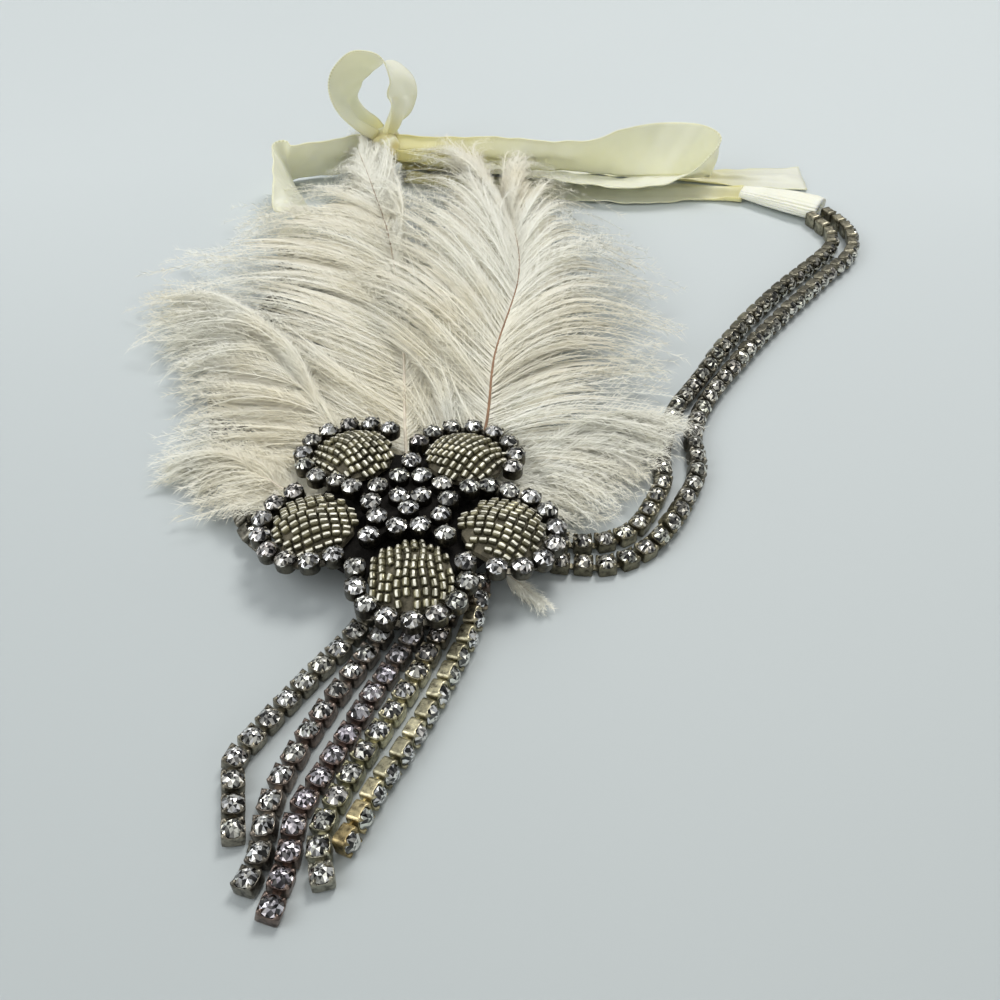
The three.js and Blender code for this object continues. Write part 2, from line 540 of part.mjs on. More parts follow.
// A swept vane on its quill: sections alternate between the tips of a lock and the notch after it
function plume({ quill, locks, bare, opening, left, right }) {
  const path = smoothPath(vectors(quill));
  const round = [QUILL_WIDTH / 2, QUILL_WIDTH / 2];
  const sections = [0, bare * BARE_SECTION].map((share) => vaneSection(path, share, 90, round));
  const read = (values, along) => between(values.map((value, i) => [i / (values.length - 1), value]), along);
  for (let i = 0; i <= locks * 2; i += 1) {
    const along = i / (locks * 2);
    const fullness = i % 2 === 0 ? NOTCH_SHARE : 1;
    const reaches = [left, right].map((side) => read(side, along) * fullness);
    sections.push(vaneSection(path, THREE.MathUtils.lerp(bare, 1, along), read(opening, along), reaches));
  }
  return loft(sections);
}

// A wedge of space with its point at the flower's middle, which keeps a plume off its neighbours
function sectorSolid({ sector: [low, high], quill, left, right }) {
  const reach = smoothPath(vectors(quill)).getLength() + Math.max(...left, ...right);
  const half = THREE.MathUtils.degToRad(high - low) / 2;
  const point = polar(GAP / Math.sin(half), (low + high) / 2).add(FLOWER);
  const far = Array.from({ length: SECTOR_SIDES + 1 }, (_, i) => polar(
    reach, THREE.MathUtils.lerp(low, high, i / SECTOR_SIDES)).add(point));
  return solidOf(new THREE.ExtrudeGeometry(new THREE.Shape([point, ...far]), {
    depth: reach, bevelEnabled: false,
  }).translate(0, 0, -reach / 2));
}

// Assembly

const group = new THREE.Group();

function addPiece(name, geometry, look) {
  const mesh = new THREE.Mesh(geometry, new THREE.MeshStandardMaterial(look));
  mesh.name = name;
  group.add(mesh);
}

addPiece('flower_backing', backing(), FELT);

const centre = centreFrames();
addPiece('flower_centre', flowerCentre(centre), PEWTER);

const taken = [...centre];
for (const petal of PETALS) {
  const frames = rimFrames(petal, taken);
  taken.push(...frames);
  addPiece(`petal_${petal.name}`, petalPad(petal), BEADS);
  addPiece(`rim_${petal.name}`, cupRow(frames, ROUND_CUP, ROUND_CUP_WIDTH), PEWTER);
}

PENDANTS.forEach((strand, i) => addPiece(`pendant_strand_${i + 1}`, chain(strand), PEWTER));
for (const strand of RIGHT_STRANDS) addPiece(strand.name, chain(strand), PEWTER);
addPiece('left_chain_outer', tube(STRAND_SPACING / 2), PEWTER);
addPiece('left_chain_inner', tube(-STRAND_SPACING / 2), PEWTER);

const lane = solidOf(new THREE.BoxGeometry(...RIBBON_LANE.size).translate(...RIBBON_LANE.middle));
for (const row of PLUMES) {
  const solid = solidOf(plume(row)).intersect(sectorSolid(row)).subtract(lane);
  addPiece(row.name, geometryOf(solid), PLUME_WHITE);
}
addPiece(TUFT.name, plume(TUFT), PLUME_WHITE);

for (const [name, rows] of Object.entries(RIBBONS)) addPiece(name, ribbon(rows), SATIN);
for (const [name, rows] of Object.entries(SLEEVES)) addPiece(name, sleeve(rows), SATIN);
addPiece('bow_knot', knot(), SATIN);

// The origin is at the middle of the underside
const box = new THREE.Box3().setFromObject(group);
const middle = box.getCenter(new THREE.Vector3());
group.position.set(-middle.x, -middle.y, -box.min.z);

export default group;
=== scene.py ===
"""A flapper headband laid flat on a pale floor: stone chains, a beaded flower, plumes and a satin bow.

Lengths here are in millimetres, measured from the floor point in the middle of the picture, until
an object is made: finished objects are in metres in the part's own frame.
"""

import json
import math

import bpy
import numpy as np
from mathutils import Matrix, Vector

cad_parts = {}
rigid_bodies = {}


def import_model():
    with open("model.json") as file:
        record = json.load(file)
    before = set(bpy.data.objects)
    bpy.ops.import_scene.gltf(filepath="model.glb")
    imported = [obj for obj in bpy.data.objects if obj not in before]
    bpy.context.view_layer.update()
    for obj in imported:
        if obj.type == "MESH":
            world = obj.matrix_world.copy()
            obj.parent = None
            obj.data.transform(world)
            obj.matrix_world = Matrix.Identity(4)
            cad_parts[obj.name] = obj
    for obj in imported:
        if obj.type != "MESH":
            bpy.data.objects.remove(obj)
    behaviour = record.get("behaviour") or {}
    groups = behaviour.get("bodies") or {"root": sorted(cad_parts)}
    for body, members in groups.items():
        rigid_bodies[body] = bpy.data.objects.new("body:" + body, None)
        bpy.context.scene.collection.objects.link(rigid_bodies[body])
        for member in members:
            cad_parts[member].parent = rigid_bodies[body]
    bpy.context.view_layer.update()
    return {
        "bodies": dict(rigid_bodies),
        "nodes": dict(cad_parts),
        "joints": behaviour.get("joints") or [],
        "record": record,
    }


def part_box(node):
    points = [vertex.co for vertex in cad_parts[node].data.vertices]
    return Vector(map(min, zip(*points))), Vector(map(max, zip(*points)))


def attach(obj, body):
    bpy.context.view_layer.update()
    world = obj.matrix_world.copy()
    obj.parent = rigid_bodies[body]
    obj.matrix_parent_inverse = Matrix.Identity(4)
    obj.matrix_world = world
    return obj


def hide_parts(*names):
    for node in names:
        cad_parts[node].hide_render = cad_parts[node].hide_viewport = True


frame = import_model()

MM = 0.001
SEED = 7

# Cup chain
PITCH = 4.8
CUP_SIDE = 4.0
CUP_DEPTH = 2.6
CUP_SIDES = 32
STONE_CROWN = 1.0
STONE_TABLE = 0.54
CHAIN_STONE_RADIUS = 1.94
RIM_STONE_RADIUS = 2.14
SETTING_LEAN = 2.2
LINK_RISE = 0.9
LINK_HOLD = 0.3
LINK_HALF_WIDTH = 0.7
LINK_HALF_THICK = 0.22
STRAND_SPACING = 5.2

# Flower
FLOWER = np.array([-18.5, -13.0])
BACKING_THICK = 1.4
BACKING_HEIGHT = 6.0
PETAL_REACH = 19.6
PETAL_TILT = 6.0
PAD_RADIUS = 8.4
PAD_EDGE = 1.2
PAD_CROWN = 4.0
RIM_RADIUS = 11.0
RIM_LIFT = 0.4
ROUND_CUP_WIDTH = 4.2
ROUND_CUP_DEPTH = 2.5
CENTRE_BASE_RADIUS = 7.0
CENTRE_BASE_THICK = 2.4
ARM_WIDTH = 2.0
CUP_SINK = 0.6
GAP = 0.3
PETAL_HEIGHT = BACKING_HEIGHT + BACKING_THICK + GAP
CENTRE_TOP = PETAL_HEIGHT + CENTRE_BASE_THICK
CENTRE_RINGS = [(2.75, 3, 30), (8.0, 10, 2)]
VALLEY_RADIUS = 12.7
BASE_SIDES = 160
ARM_TURN = 1.5
SPARE_REACH = 19.0
SPARE_STEP = 0.5
PETALS = {"front": (-86, 1.0), "right": (-19, 1.02), "back_right": (56, 1.0), "back_left": (127, 1.1),
          "left": (195, 1.0)}

# Seed beads
BEAD_LENGTH = 1.7
BEAD_RADIUS = 0.78
BEAD_PITCH = 1.86
BEAD_ROW_PITCH = 1.7
BEAD_ROWS = 10
BEAD_SIDES = 10
BEAD_FAN = 0.08
BEAD_SWAY = 0.22
BEAD_SWAY_RATE = 0.55
BEAD_SWAY_STEP = 0.8
MISSING_BEADS = 0.03
# Shares of half the length and of the radius
BEAD_PROFILE = [(-1, 0.38), (-1, 0.72), (-0.82, 0.94), (-0.5, 1.0), (0.5, 1.0), (0.82, 0.94), (1, 0.72),
                (1, 0.38)]

# Strand routes, x, y and the height of the underside, and how far the settings roll onto their side
PENDANTS = [
    ([(-22.6, -30, 2), (-24.2, -34.4, 1.6), (-28.1, -41.6, 0.4), (-33.8, -49.5, 0), (-41.5, -61.7, 0),
      (-45.9, -69.7, 0), (-45.3, -75, 0), (-43.2, -86, 0)], [(0, 0), (1, -8)]),
    ([(-18, -30.4, 2), (-19.6, -35, 1.6), (-23.4, -43, 0.4), (-30.1, -56, 0), (-35.9, -69.7, 0),
      (-38.3, -79.1, 0), (-38.6, -88.4, 0), (-40.6, -95, 0)], [(0, 0), (1, 10)]),
    ([(-13.2, -30.4, 2), (-14.4, -35, 1.6), (-17.3, -43, 0.4), (-23.6, -56.3, 0), (-29.1, -69.7, 0),
      (-33.4, -80, 0), (-33.9, -88.6, 0), (-36.2, -99.6, 0)], [(0, 0), (1, -6)]),
    ([(-8.3, -29.6, 2), (-9.3, -34, 1.6), (-11.7, -41.6, 0.4), (-17.4, -55.4, 0), (-23.7, -68.7, 0),
      (-28.4, -80.5, 0), (-29.1, -87, 0), (-27.8, -94, 0)], [(0, 0), (1, 8)]),
    ([(-3.9, -26.4, 2), (-4, -30.6, 1.6), (-5.8, -40.4, 0.4), (-10.8, -54, 0), (-16.6, -67.2, 0),
      (-21, -75.8, 0), (-25.8, -87.5, 0)], [(0, 0), (0.05, 0), (0.14, -70), (0.3, -82), (1, -84)]),
]
RIGHT_OUTER = [(-4, -18.5, 1.9), (5, -20.5, 0.9), (14.7, -21.6, 0), (23.2, -21.3, 0), (31, -16.6, 0),
               (36.5, -9.2, 0), (40.2, -2, 0), (43.2, 4.8, 0), (44.3, 11, 0), (44.7, 20.5, 0),
               (49, 32.4, 0), (57.5, 46.6, 0), (66.4, 60, 0), (77.9, 75.3, 0), (90.4, 91.3, 0),
               (98.9, 101.8, 0), (102.4, 112, 0), (101.3, 121, 0), (97.6, 128.8, 0)]
RIGHT_INNER = [(-4, -12.2, 1.9), (5, -14, 0.9), (14.6, -15.3, 0), (21.8, -14.8, 0), (28.2, -11.1, 0),
               (33.2, -2.8, 0), (35.9, 4.3, 0), (36.4, 12, 0), (38.4, 21, 0), (42.6, 32, 0),
               (49.2, 42.8, 0), (58.6, 59, 0), (68.4, 73.3, 0), (78.4, 86.5, 0), (89.2, 99, 0),
               (95.2, 107.5, 0), (96.6, 115, 0), (94.8, 121, 0), (92.6, 126, 0)]
OUTER_ROLLS = [(0, 0), (0.17, 0), (0.22, 48), (0.29, 16), (0.5, 30), (0.6, 70), (1, 88)]
INNER_ROLLS = [(0, 0), (0.18, 0), (0.5, 30), (0.6, 68), (1, 86)]
LEFT_ROUTE = [(-34, -17.5, 0.1), (-43, -18.4, 0.1), (-49.6, -13.5, 0.1), (-54, -2, 0.1), (-60, 13, 0.1),
              (-65, 32, 0.1), (-65, 54, 0.1), (-60, 72, 0.1), (-57, 88, 0.1), (-58.7, 103.6, 0.1)]
LEFT_ROLLS = [(0, 60), (1, 60)]

# Ribbon tables: x, y, z of the middle line, the direction across, and the share of the width
RIBBON_WIDTH = 16.0
RIBBON_THICK = 0.35
RIBBONS = {
    "ribbon_left": [
        (-60, 116, 6.6, -0.75, 0, 0.66, 0.8), (-62, 128, 7.2, -0.65, 0, 0.76, 1),
        (-66, 143, 7.9, -0.35, -0.25, 0.9, 1), (-67.2, 148.8, 8, -0.1, -0.42, 0.9, 1),
        (-63.6, 151, 8, 0.1, -0.45, 0.89, 1), (-54, 153.6, 8, 0.05, -0.42, 0.9, 1),
        (-42.1, 159.4, 8, 0, -0.2, 0.98, 0.6)],
    "bow_loop_top": [
        (-39.6, 161.4, 15.2, 0.3, 0.93, -0.2, 0.5), (-45, 163, 17.5, 0.4, 0.85, -0.34, 0.85),
        (-48.6, 164.5, 22.5, 0.46, 0.74, -0.48, 1), (-47.8, 166, 28.5, 0.48, 0.7, -0.52, 1),
        (-42.5, 167.5, 33, 0.48, 0.7, -0.52, 1), (-36.5, 167.5, 33.2, 0.48, 0.7, -0.52, 1),
        (-31.6, 166.5, 28.8, 0.48, 0.72, -0.5, 1), (-30.6, 165, 23, 0.46, 0.76, -0.46, 1),
        (-32, 163, 17.8, 0.4, 0.86, -0.3, 0.8), (-35.2, 161.4, 15.2, 0.3, 0.93, -0.2, 0.5)],
    "bow_loop_right": [
        (-31.2, 161, 7.6, 0, -0.2, 0.98, 0.5), (-22, 160.5, 6.8, 0, 0, 1, 0.56),
        (-6, 158.5, 7, 0, -0.2, 0.98, 0.7), (12, 154.4, 8.4, 0, -0.5, 0.87, 0.9),
        (28, 152, 9.2, 0, -0.5, 0.87, 1), (42, 153.4, 10.2, 0, 0.1, 0.99, 1),
        (54, 154.8, 10.4, -0.05, 0.4, 0.9, 1), (63, 153.4, 10.4, 0, 0.1, 0.99, 1),
        (67, 150.2, 10.2, 0.1, -0.3, 0.95, 1), (65.4, 147.4, 8.4, 0, -0.6, 0.8, 1),
        (58, 146.4, 5.6, 0, -0.85, 0.5, 1), (40, 143.6, 4.4, 0, -0.97, 0.25, 1),
        (16, 148.6, 4.6, 0, -0.95, 0.3, 0.95), (-4, 152.6, 5, 0, -0.92, 0.4, 0.8),
        (-30.6, 156.6, 6, 0, -0.8, 0.6, 0.45)],
    "bow_tail_right": [
        (-30, 162.5, 0.6, 0, 1, 0, 0.4), (-10, 164, 0.6, 0, 1, 0, 0.75), (30, 163.6, 0.6, 0, 1, 0, 0.9),
        (52, 160, 0.6, 0, 1, 0, 0.75), (67, 156.2, 0.6, 0, 1, 0, 0.6), (80, 154.8, 0.6, 0, 1, 0, 0.8),
        (97, 154.4, 0.6, 0.1, 1, 0, 1)],
    "ribbon_right": [
        (-30, 154.6, 0.6, 0, 1, 0, 0.4), (-8, 150.6, 0.6, 0, 1, 0, 0.7), (16, 147, 0.6, 0, 1, 0, 0.85),
        (40, 144.4, 0.6, 0, 1, 0, 0.9), (57, 145, 0.6, 0, 1, 0, 0.75), (67, 144.2, 1, 0.2, 1, 0, 0.62),
        (75.4, 141.4, 2.6, 0.4, 1, 0, 0.5)],
    "bow_tail_left": [
        (-38, 161.6, 1.3, 1, 0.2, 0, 0.4), (-39.4, 154, 0.6, 1, 0.15, 0, 0.6),
        (-39.4, 149, 0.6, 1, 0.1, 0, 0.7), (-39, 143, 0.6, 1, 0.05, 0, 0.8)],
}

# Sleeve tables: x, y, z of the middle and the width
SLEEVE_HEIGHT = 5.4
SLEEVE_SIDES = 144
SLEEVE_STEPS = 30
SLEEVES = {
    "sleeve_right": [(97, 129.4, 2.8, 12), (89, 133.9, 3, 11), (81.5, 138.2, 2.7, 8.8),
                     (75.2, 141.6, 2.4, 6)],
    "sleeve_left": [(-58.9, 104.4, 2.8, 11.4), (-59.6, 108, 3, 10.8), (-60, 112, 3, 9.6),
                    (-60, 114.6, 3, 8.4)],
}
KNOT = (-37, 161, 8)
KNOT_WIDTH = 9.0
KNOT_RADIUS = 6.0
KNOT_SIDES = 96
KNOT_STEPS = 32
TUCK_REACH = 11.0
TUCK = 2.6

# Plumes: quill route, share without barbs, barbs a side, how high the barbs arch and how high their
# ends rest, and for each side their length and the angle at which they leave, from the base to the tip
PLUMES = {
    "plume_right": dict(
        quill=[(-10, -7, 4.2), (4, 3, 3.8), (14, 11, 6), (23, 17, 7)], bare=0.1, count=290, arch=2.6,
        rest=1.2, left=((30, 35, 28, 18), (60, 24)), right=((18, 21, 20, 15), (76, 24))),
    "plume_main": dict(
        quill=[(-13.4, -3.4, 4.2), (-4, 13.9, 6.2), (-1.2, 37.1, 13), (4.6, 66.2, 16), (4, 93, 15),
               (0, 116, 12)], bare=0.06, count=440, arch=5.6,
        rest=5, left=((60, 77, 76, 62, 48), (86, 62, 54, 40, 32)),
        right=((38, 46, 42, 38, 36), (80, 60, 52, 40, 26))),
    "plume_back": dict(
        quill=[(-20, -1, 4.2), (-22, 22, 5), (-24, 50, 10), (-30, 92, 12.5), (-37, 122, 13),
               (-44, 150, 12)], bare=0.08, count=430, arch=3.2,
        rest=4, left=((54, 66, 60, 26, 10), (80, 62, 58, 44, 24)),
        right=((40, 46, 46, 46, 24), (60, 46, 44, 46, 34))),
    "plume_left": dict(
        quill=[(-27, -5.4, 4.2), (-34, 8, 5), (-46, 30, 9), (-58, 50, 9)], bare=0.1,
        count=390, arch=2.8, rest=1.2, left=((34, 34, 33, 29), (92, 64, 46, 22)),
        right=((46, 52, 50, 38), (26, 18, 14, 12))),
    "plume_low": dict(
        quill=[(-30.6, -9.6, 4.2), (-42, -5.6, 5), (-50, -1, 7), (-57, 4, 6)], bare=0.14, count=240,
        arch=2.2, rest=0.9, left=((14, 15, 14, 11), (60, 44, 30, 16)),
        right=((34, 31, 24, 16), (70, 50, 30, 14))),
    "tuft_low": dict(
        quill=[(-3, -23, 4.7), (2.6, -27, 3), (7, -31, 2)], bare=0.4, count=50, arch=0.6,
        rest=0.6, left=((4, 6, 5, 4), (46, 16)), right=((4, 6, 5, 4), (46, 16))),
}

# The flow of the plumes over the table: places and the bearing that barbs turn to there
FLOW = np.array([
    (-98, 72, 188), (-78, 70, 170), (-84, 25, 186), (-62, -4, 194), (-88, 100, 170), (-72, 112, 160),
    (-52, 60, 156), (-26, 46, 142), (-34, 96, 146), (-52, 150, 128), (-22, 150, 96), (8, 150, 66),
    (34, 114, 30), (46, 74, 2), (46, 42, -14), (38, 10, -28), (28, -8, -40), (-6, 62, 136),
    (14, 62, 26), (14, 34, 8), (24, 22, -8), (4, -28, -60), (-13, 36, 118),
    (-30, 135, 112), (-12, 128, 112), (12, 128, 72),
], float)
FLOW_REACH = 16.0
FLOW_PULL = 0.16
BARB_STEPS = 13
LOCK_STEPS = 8
LOCK_WIDTH = 2.2
FLOWER_REACH = 31.0  # how far the petals reach from the flower's middle
BELOW_FLOWER = 5.2  # the height that barbs keep to under the petals
COVER_SLOPE = 5.0  # how far from a covered piece the barbs begin to rise
BARBULE_PITCH = 0.34
BARBULE_LENGTHS = (1.8, 4.4)
BARBULE_SPREAD = (8, 40)
BARBULE_HALF_BASE = 0.1
QUILL_WIDTH = 0.8
QUILL_SIDES = 8
QUILL_STEPS = 40
QUILL_SHOWN = {"plume_main": 0.0, "plume_back": 0.6}  # the share from which the quill shows brown
NOT_SHOWN = 2.0

# Colours, linear
CLEAR = (0.74, 0.72, 0.655)
SMOKY = (0.58, 0.56, 0.48)
PEWTER = (0.25, 0.24, 0.21)
BLACKENED = (0.11, 0.105, 0.09)
OLD_GOLD = (0.62, 0.50, 0.27)
PALE_GOLD = (0.58, 0.55, 0.40)
ROSE = (0.27, 0.21, 0.19)
# The right chains' metal along their length, darkest at the flower end
RIGHT_CHAIN_METALS = [(0, (0.2, 0.185, 0.14)), (0.22, (0.32, 0.30, 0.22)), (0.3, PEWTER), (0.6, (0.30, 0.285, 0.235)),
              (1, (0.31, 0.295, 0.23))]
HIDDEN_CHAIN = [(0, BLACKENED), (0.2, PEWTER), (1, PEWTER)]
# Painted shade for the satin's folds and creases: a darker gold
FOLD_SHADE_TINT = (0.93, 0.84, 0.54)
OLIVE_GLASS = (0.16, 0.148, 0.09)
# Painted highlight along the top of each bead
LINING_HIGHLIGHT = (1.0, 0.98, 0.88)
BARB_TONE = (0.975, 0.965, 0.88)
# A little darker than the barbs: painted shade under the loose barbs
SHADED_LOCK_TONE = (0.97, 0.955, 0.87)
QUILL_BROWN = (0.30, 0.17, 0.09)
QUILL_CREAM = (0.82, 0.77, 0.66)

# Stage: metres, degrees and watts
FLOOR_HALF = 3.0
ROOM_STRENGTH = 0.46
PAPER = (1.35, 1.41, 1.43)
LIGHTS = [("key", (0.35, 0.6, 1.2), 0.5, 9.0, (1.0, 0.985, 0.96)),
          ("fill", (-0.9, -0.3, 0.9), 0.8, 5.0, (0.96, 0.98, 1.0))]
LENS = 41.04
SENSOR_WIDTH = 36
CAMERA_PLACE = (0, -187.06, 166.08)
CAMERA_TILT = 48.4

rng = np.random.default_rng(SEED)


# Curves: the same smooth route and even spacing as the solids have

class Path:
    """A smooth curve through points, read by share of its length."""

    STEPS = 200

    def __init__(self, points):
        self.points = np.array(points, float)
        samples = self.at_parameter(np.linspace(0, 1, self.STEPS + 1))
        steps = np.linalg.norm(np.diff(samples, axis=0), axis=1)
        self.lengths = np.concatenate([[0], np.cumsum(steps)])
        self.length = self.lengths[-1]

    def at_parameter(self, t):
        t = np.clip(np.atleast_1d(np.asarray(t, float)), 0, 1)
        points = self.points
        last = len(points) - 1
        place = last * t
        index = np.minimum(place.astype(int), last - 1)
        w = (place - index)[:, None]
        before = 2 * points[0] - points[1]
        after = 2 * points[last] - points[last - 1]
        padded = np.vstack([before, points, after])
        p0, p1, p2, p3 = (padded[index + k] for k in range(4))
        t0, t1 = (p2 - p0) / 2, (p3 - p1) / 2
        return p1 + t0 * w + (3 * (p2 - p1) - 2 * t0 - t1) * w ** 2 + (2 * (p1 - p2) + t0 + t1) * w ** 3

    def parameter(self, share):
        grid = np.linspace(0, 1, self.STEPS + 1)
        return np.interp(np.asarray(share, float) * self.length, self.lengths, grid)

    def at(self, share):
        return self.at_parameter(self.parameter(share))

    def tangent(self, share):
        t = self.parameter(share)
        step = 1e-4
        ahead = self.at_parameter(np.minimum(t + step, 1)) - self.at_parameter(np.maximum(t - step, 0))
        return ahead / np.linalg.norm(ahead, axis=1, keepdims=True)


def unit(v):
    v = np.asarray(v, float)
    return v / np.linalg.norm(v, axis=-1, keepdims=True)


def matrix(x_axis, y_axis, z_axis, origin):
    result = np.eye(4)
    result[:3, 0], result[:3, 1], result[:3, 2], result[:3, 3] = x_axis, y_axis, z_axis, origin
    return result


def rotation(degrees, axis):
    return np.array(Matrix.Rotation(math.radians(degrees), 4, axis))


def shift(x, y, z):
    return np.array(Matrix.Translation((x, y, z)))


# Meshes: parts are gathered in a Bag and made into one object

def frame_offset():
    """From the floor point in the middle of the picture to the part's own frame, in millimetres."""
    low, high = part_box("flower_backing")
    middle = np.array((low + high)[:2]) / 2 / MM
    return np.array([*(middle - FLOWER), low.z / MM - BACKING_HEIGHT])


OFFSET = frame_offset()


class Bag:
    """Points in millimetres, faces, and for each face a material number, a colour and smoothness."""

    def __init__(self):
        self.points, self.faces, self.slots, self.shades = [], [], [], []
        self.smooth, self.uvs, self.normals = [], [], []
        self.count = 0

    def add(self, points, faces, slot=0, shade=(1, 1, 1), smooth=False, uv=None, normals=None):
        points = np.asarray(points, float).reshape(-1, 3)
        faces = np.asarray(faces, int)
        if faces.shape[1] == 3:
            faces = np.column_stack([faces, -np.ones(len(faces), int)])
        filled = faces >= 0
        self.points.append(points)
        self.faces.append(np.where(filled, faces + self.count, -1))
        self.slots.append(np.broadcast_to(slot, len(faces)))
        self.shades.append(np.broadcast_to(np.asarray(shade, float), (len(faces), 3)))
        self.smooth.append(np.broadcast_to(smooth, len(faces)))
        self.uvs.append(np.zeros((len(points), 2)) if uv is None else np.asarray(uv, float))
        self.normals.append(np.zeros((len(points), 3)) if normals is None else np.asarray(normals, float))
        self.count += len(points)

    def stamp(self, part, frames, slot=0, shades=(1, 1, 1), smooth=False):
        """Copies of one part, one for each 4 by 4 frame; shades has a colour a copy, or a face of a copy."""
        points, faces = part
        frames = np.asarray(frames)
        placed = np.einsum("fij,pj->fpi", frames[:, :3, :3], points) + frames[:, None, :3, 3]
        if faces.shape[1] == 3:
            faces = np.column_stack([faces, -np.ones(len(faces), int)])
        step = (np.arange(len(frames)) * len(points))[:, None, None]
        every = np.where(faces[None] >= 0, faces[None] + step, -1).reshape(-1, 4)
        shades = np.asarray(shades, float)
        if shades.ndim == 2:
            shades = np.repeat(shades, len(faces), axis=0)
        elif shades.ndim == 3:
            shades = shades.reshape(-1, 3)
        self.add(placed.reshape(-1, 3), every, slot, shades, smooth)

    def build(self, name, materials):
        points = (np.vstack(self.points) + OFFSET) * MM
        faces = np.vstack(self.faces)
        sizes = (faces >= 0).sum(axis=1)
        corners = faces[faces >= 0]
        mesh = bpy.data.meshes.new(name)
        mesh.vertices.add(len(points))
        mesh.vertices.foreach_set("co", points.ravel())
        mesh.loops.add(len(corners))
        mesh.loops.foreach_set("vertex_index", corners)
        mesh.polygons.add(len(faces))
        mesh.polygons.foreach_set("loop_start", np.concatenate([[0], np.cumsum(sizes)[:-1]]))
        mesh.polygons.foreach_set("material_index", np.concatenate(self.slots).astype(int))
        mesh.polygons.foreach_set("use_smooth", np.concatenate(self.smooth).astype(bool))
        shades = np.repeat(np.vstack(self.shades), sizes, axis=0)
        colour = mesh.color_attributes.new("shade", "FLOAT_COLOR", "CORNER")
        colour.data.foreach_set("color", np.column_stack([shades, np.ones(len(shades))]).ravel())
        uv_layer = mesh.uv_layers.new(name="UVMap")
        uv_layer.data.foreach_set("uv", np.vstack(self.uvs)[corners].ravel())
        mesh.update(calc_edges=True)
        mesh.validate()
        normals = np.vstack(self.normals)
        if normals.any():
            mesh.normals_split_custom_set_from_vertices(normals.tolist())
        for material in materials:
            mesh.materials.append(material)
        piece = bpy.data.objects.new(name, mesh)
        bpy.context.scene.collection.objects.link(piece)
        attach(piece, "root")
        return piece


# Materials

def node(tree, kind, **settings):
    made = tree.nodes.new(kind)
    for key, value in settings.items():
        if key in made.inputs:
            made.inputs[key].default_value = value
        else:
            setattr(made, key, value)
    return made


def new_material(name, **sockets):
    material = bpy.data.materials.new(name)
    material.use_nodes = True
    shader = material.node_tree.nodes["Principled BSDF"]
    for key, value in sockets.items():
        shader.inputs[key.replace("_", " ")].default_value = value
    return material, material.node_tree, shader


def noise(tree, scale, detail=4.0, roughness=0.6, vector=None):
    made = node(tree, "ShaderNodeTexNoise")
    made.inputs["Scale"].default_value = scale
    made.inputs["Detail"].default_value = detail
    made.inputs["Roughness"].default_value = roughness
    if vector is None:
        vector = node(tree, "ShaderNodeTexCoord").outputs["Object"]
    tree.links.new(vector, made.inputs["Vector"])
    return made.outputs["Fac"]


def ramp(tree, value, stops):
    made = node(tree, "ShaderNodeValToRGB")
    elements = made.color_ramp.elements
    while len(elements) < len(stops):
        elements.new(0.5)
    for element, (position, colour) in zip(elements, stops):
        element.position = position
        element.color = (*colour, 1)
    tree.links.new(value, made.inputs["Fac"])
    return made.outputs["Color"]


def mixed(tree, kind, factor, a, b):
    made = node(tree, "ShaderNodeMix", data_type="RGBA", blend_type=kind)
    for socket, value in (("Factor", factor), ("A", a), ("B", b)):
        index = {"Factor": 0, "A": 6, "B": 7}[socket]
        if hasattr(value, "links"):
            tree.links.new(value, made.inputs[index])
        elif socket == "Factor":
            made.inputs[index].default_value = value
        else:
            made.inputs[index].default_value = (*value, 1)
    return made.outputs[2]


def shade_of(tree):
    return node(tree, "ShaderNodeVertexColor", layer_name="shade").outputs["Color"]


def mottle(tree, shader, value, stops):
    """The base colour: the faces' own shades times a ramp of a value."""
    tone = ramp(tree, value, stops)
    tree.links.new(mixed(tree, "MULTIPLY", 1.0, shade_of(tree), tone), shader.inputs["Base Color"])


def bump(tree, shader, height, strength, distance):
    made = node(tree, "ShaderNodeBump")
    made.inputs["Strength"].default_value = strength
    made.inputs["Distance"].default_value = distance
    tree.links.new(height, made.inputs["Height"])
    tree.links.new(made.outputs["Normal"], shader.inputs["Normal"])


def metal_material():
    material, tree, shader = new_material("aged_metal", Metallic=1.0, Roughness=0.34)
    stain = [(0.32, (0.28, 0.26, 0.24)), (0.5, (0.85, 0.84, 0.8)), (0.72, (1.25, 1.2, 1.1))]
    mottle(tree, shader, noise(tree, 900), stain)
    rough = ramp(tree, noise(tree, 1600), [(0.3, (0.24,) * 3), (0.7, (0.5,) * 3)])
    tree.links.new(rough, shader.inputs["Roughness"])
    bump(tree, shader, noise(tree, 2200), 0.25, 0.00012)
    return material


def crystal_material():
    material, tree, shader = new_material("foiled_stone", Metallic=0.85, Roughness=0.07, Coat_Weight=1.0,
                                          Coat_Roughness=0.02, Coat_IOR=1.6)
    # The faces' shades are painted reflections: bright and dark facets, varied by a noise
    mottle(tree, shader, noise(tree, 700), [(0.3, (0.72, 0.72, 0.73)), (0.7, (1.1, 1.1, 1.1))])
    return material


def bead_material():
    material, tree, shader = new_material("silver_lined_bead", Metallic=0.5, Roughness=0.28, Coat_Weight=0.6,
                                          Coat_Roughness=0.05)
    mottle(tree, shader, noise(tree, 1500), [(0.3, (0.78, 0.76, 0.69)), (0.65, (1.2, 1.19, 1.12))])
    # The painted highlight of the silvered lining is pale and matt, the glass darker and shinier
    shine = ramp(tree, shade_of(tree), [(0.3, (0.6,) * 3), (0.5, (0.12,) * 3)])
    tree.links.new(shine, shader.inputs["Metallic"])
    return material


def pad_material():
    material, tree, shader = new_material("pad_cloth", Roughness=0.8)
    tone = ramp(tree, noise(tree, 1200), [(0.3, (0.10, 0.09, 0.06)), (0.7, (0.21, 0.185, 0.125))])
    tree.links.new(tone, shader.inputs["Base Color"])
    bump(tree, shader, noise(tree, 3000), 0.5, 0.0002)
    return material


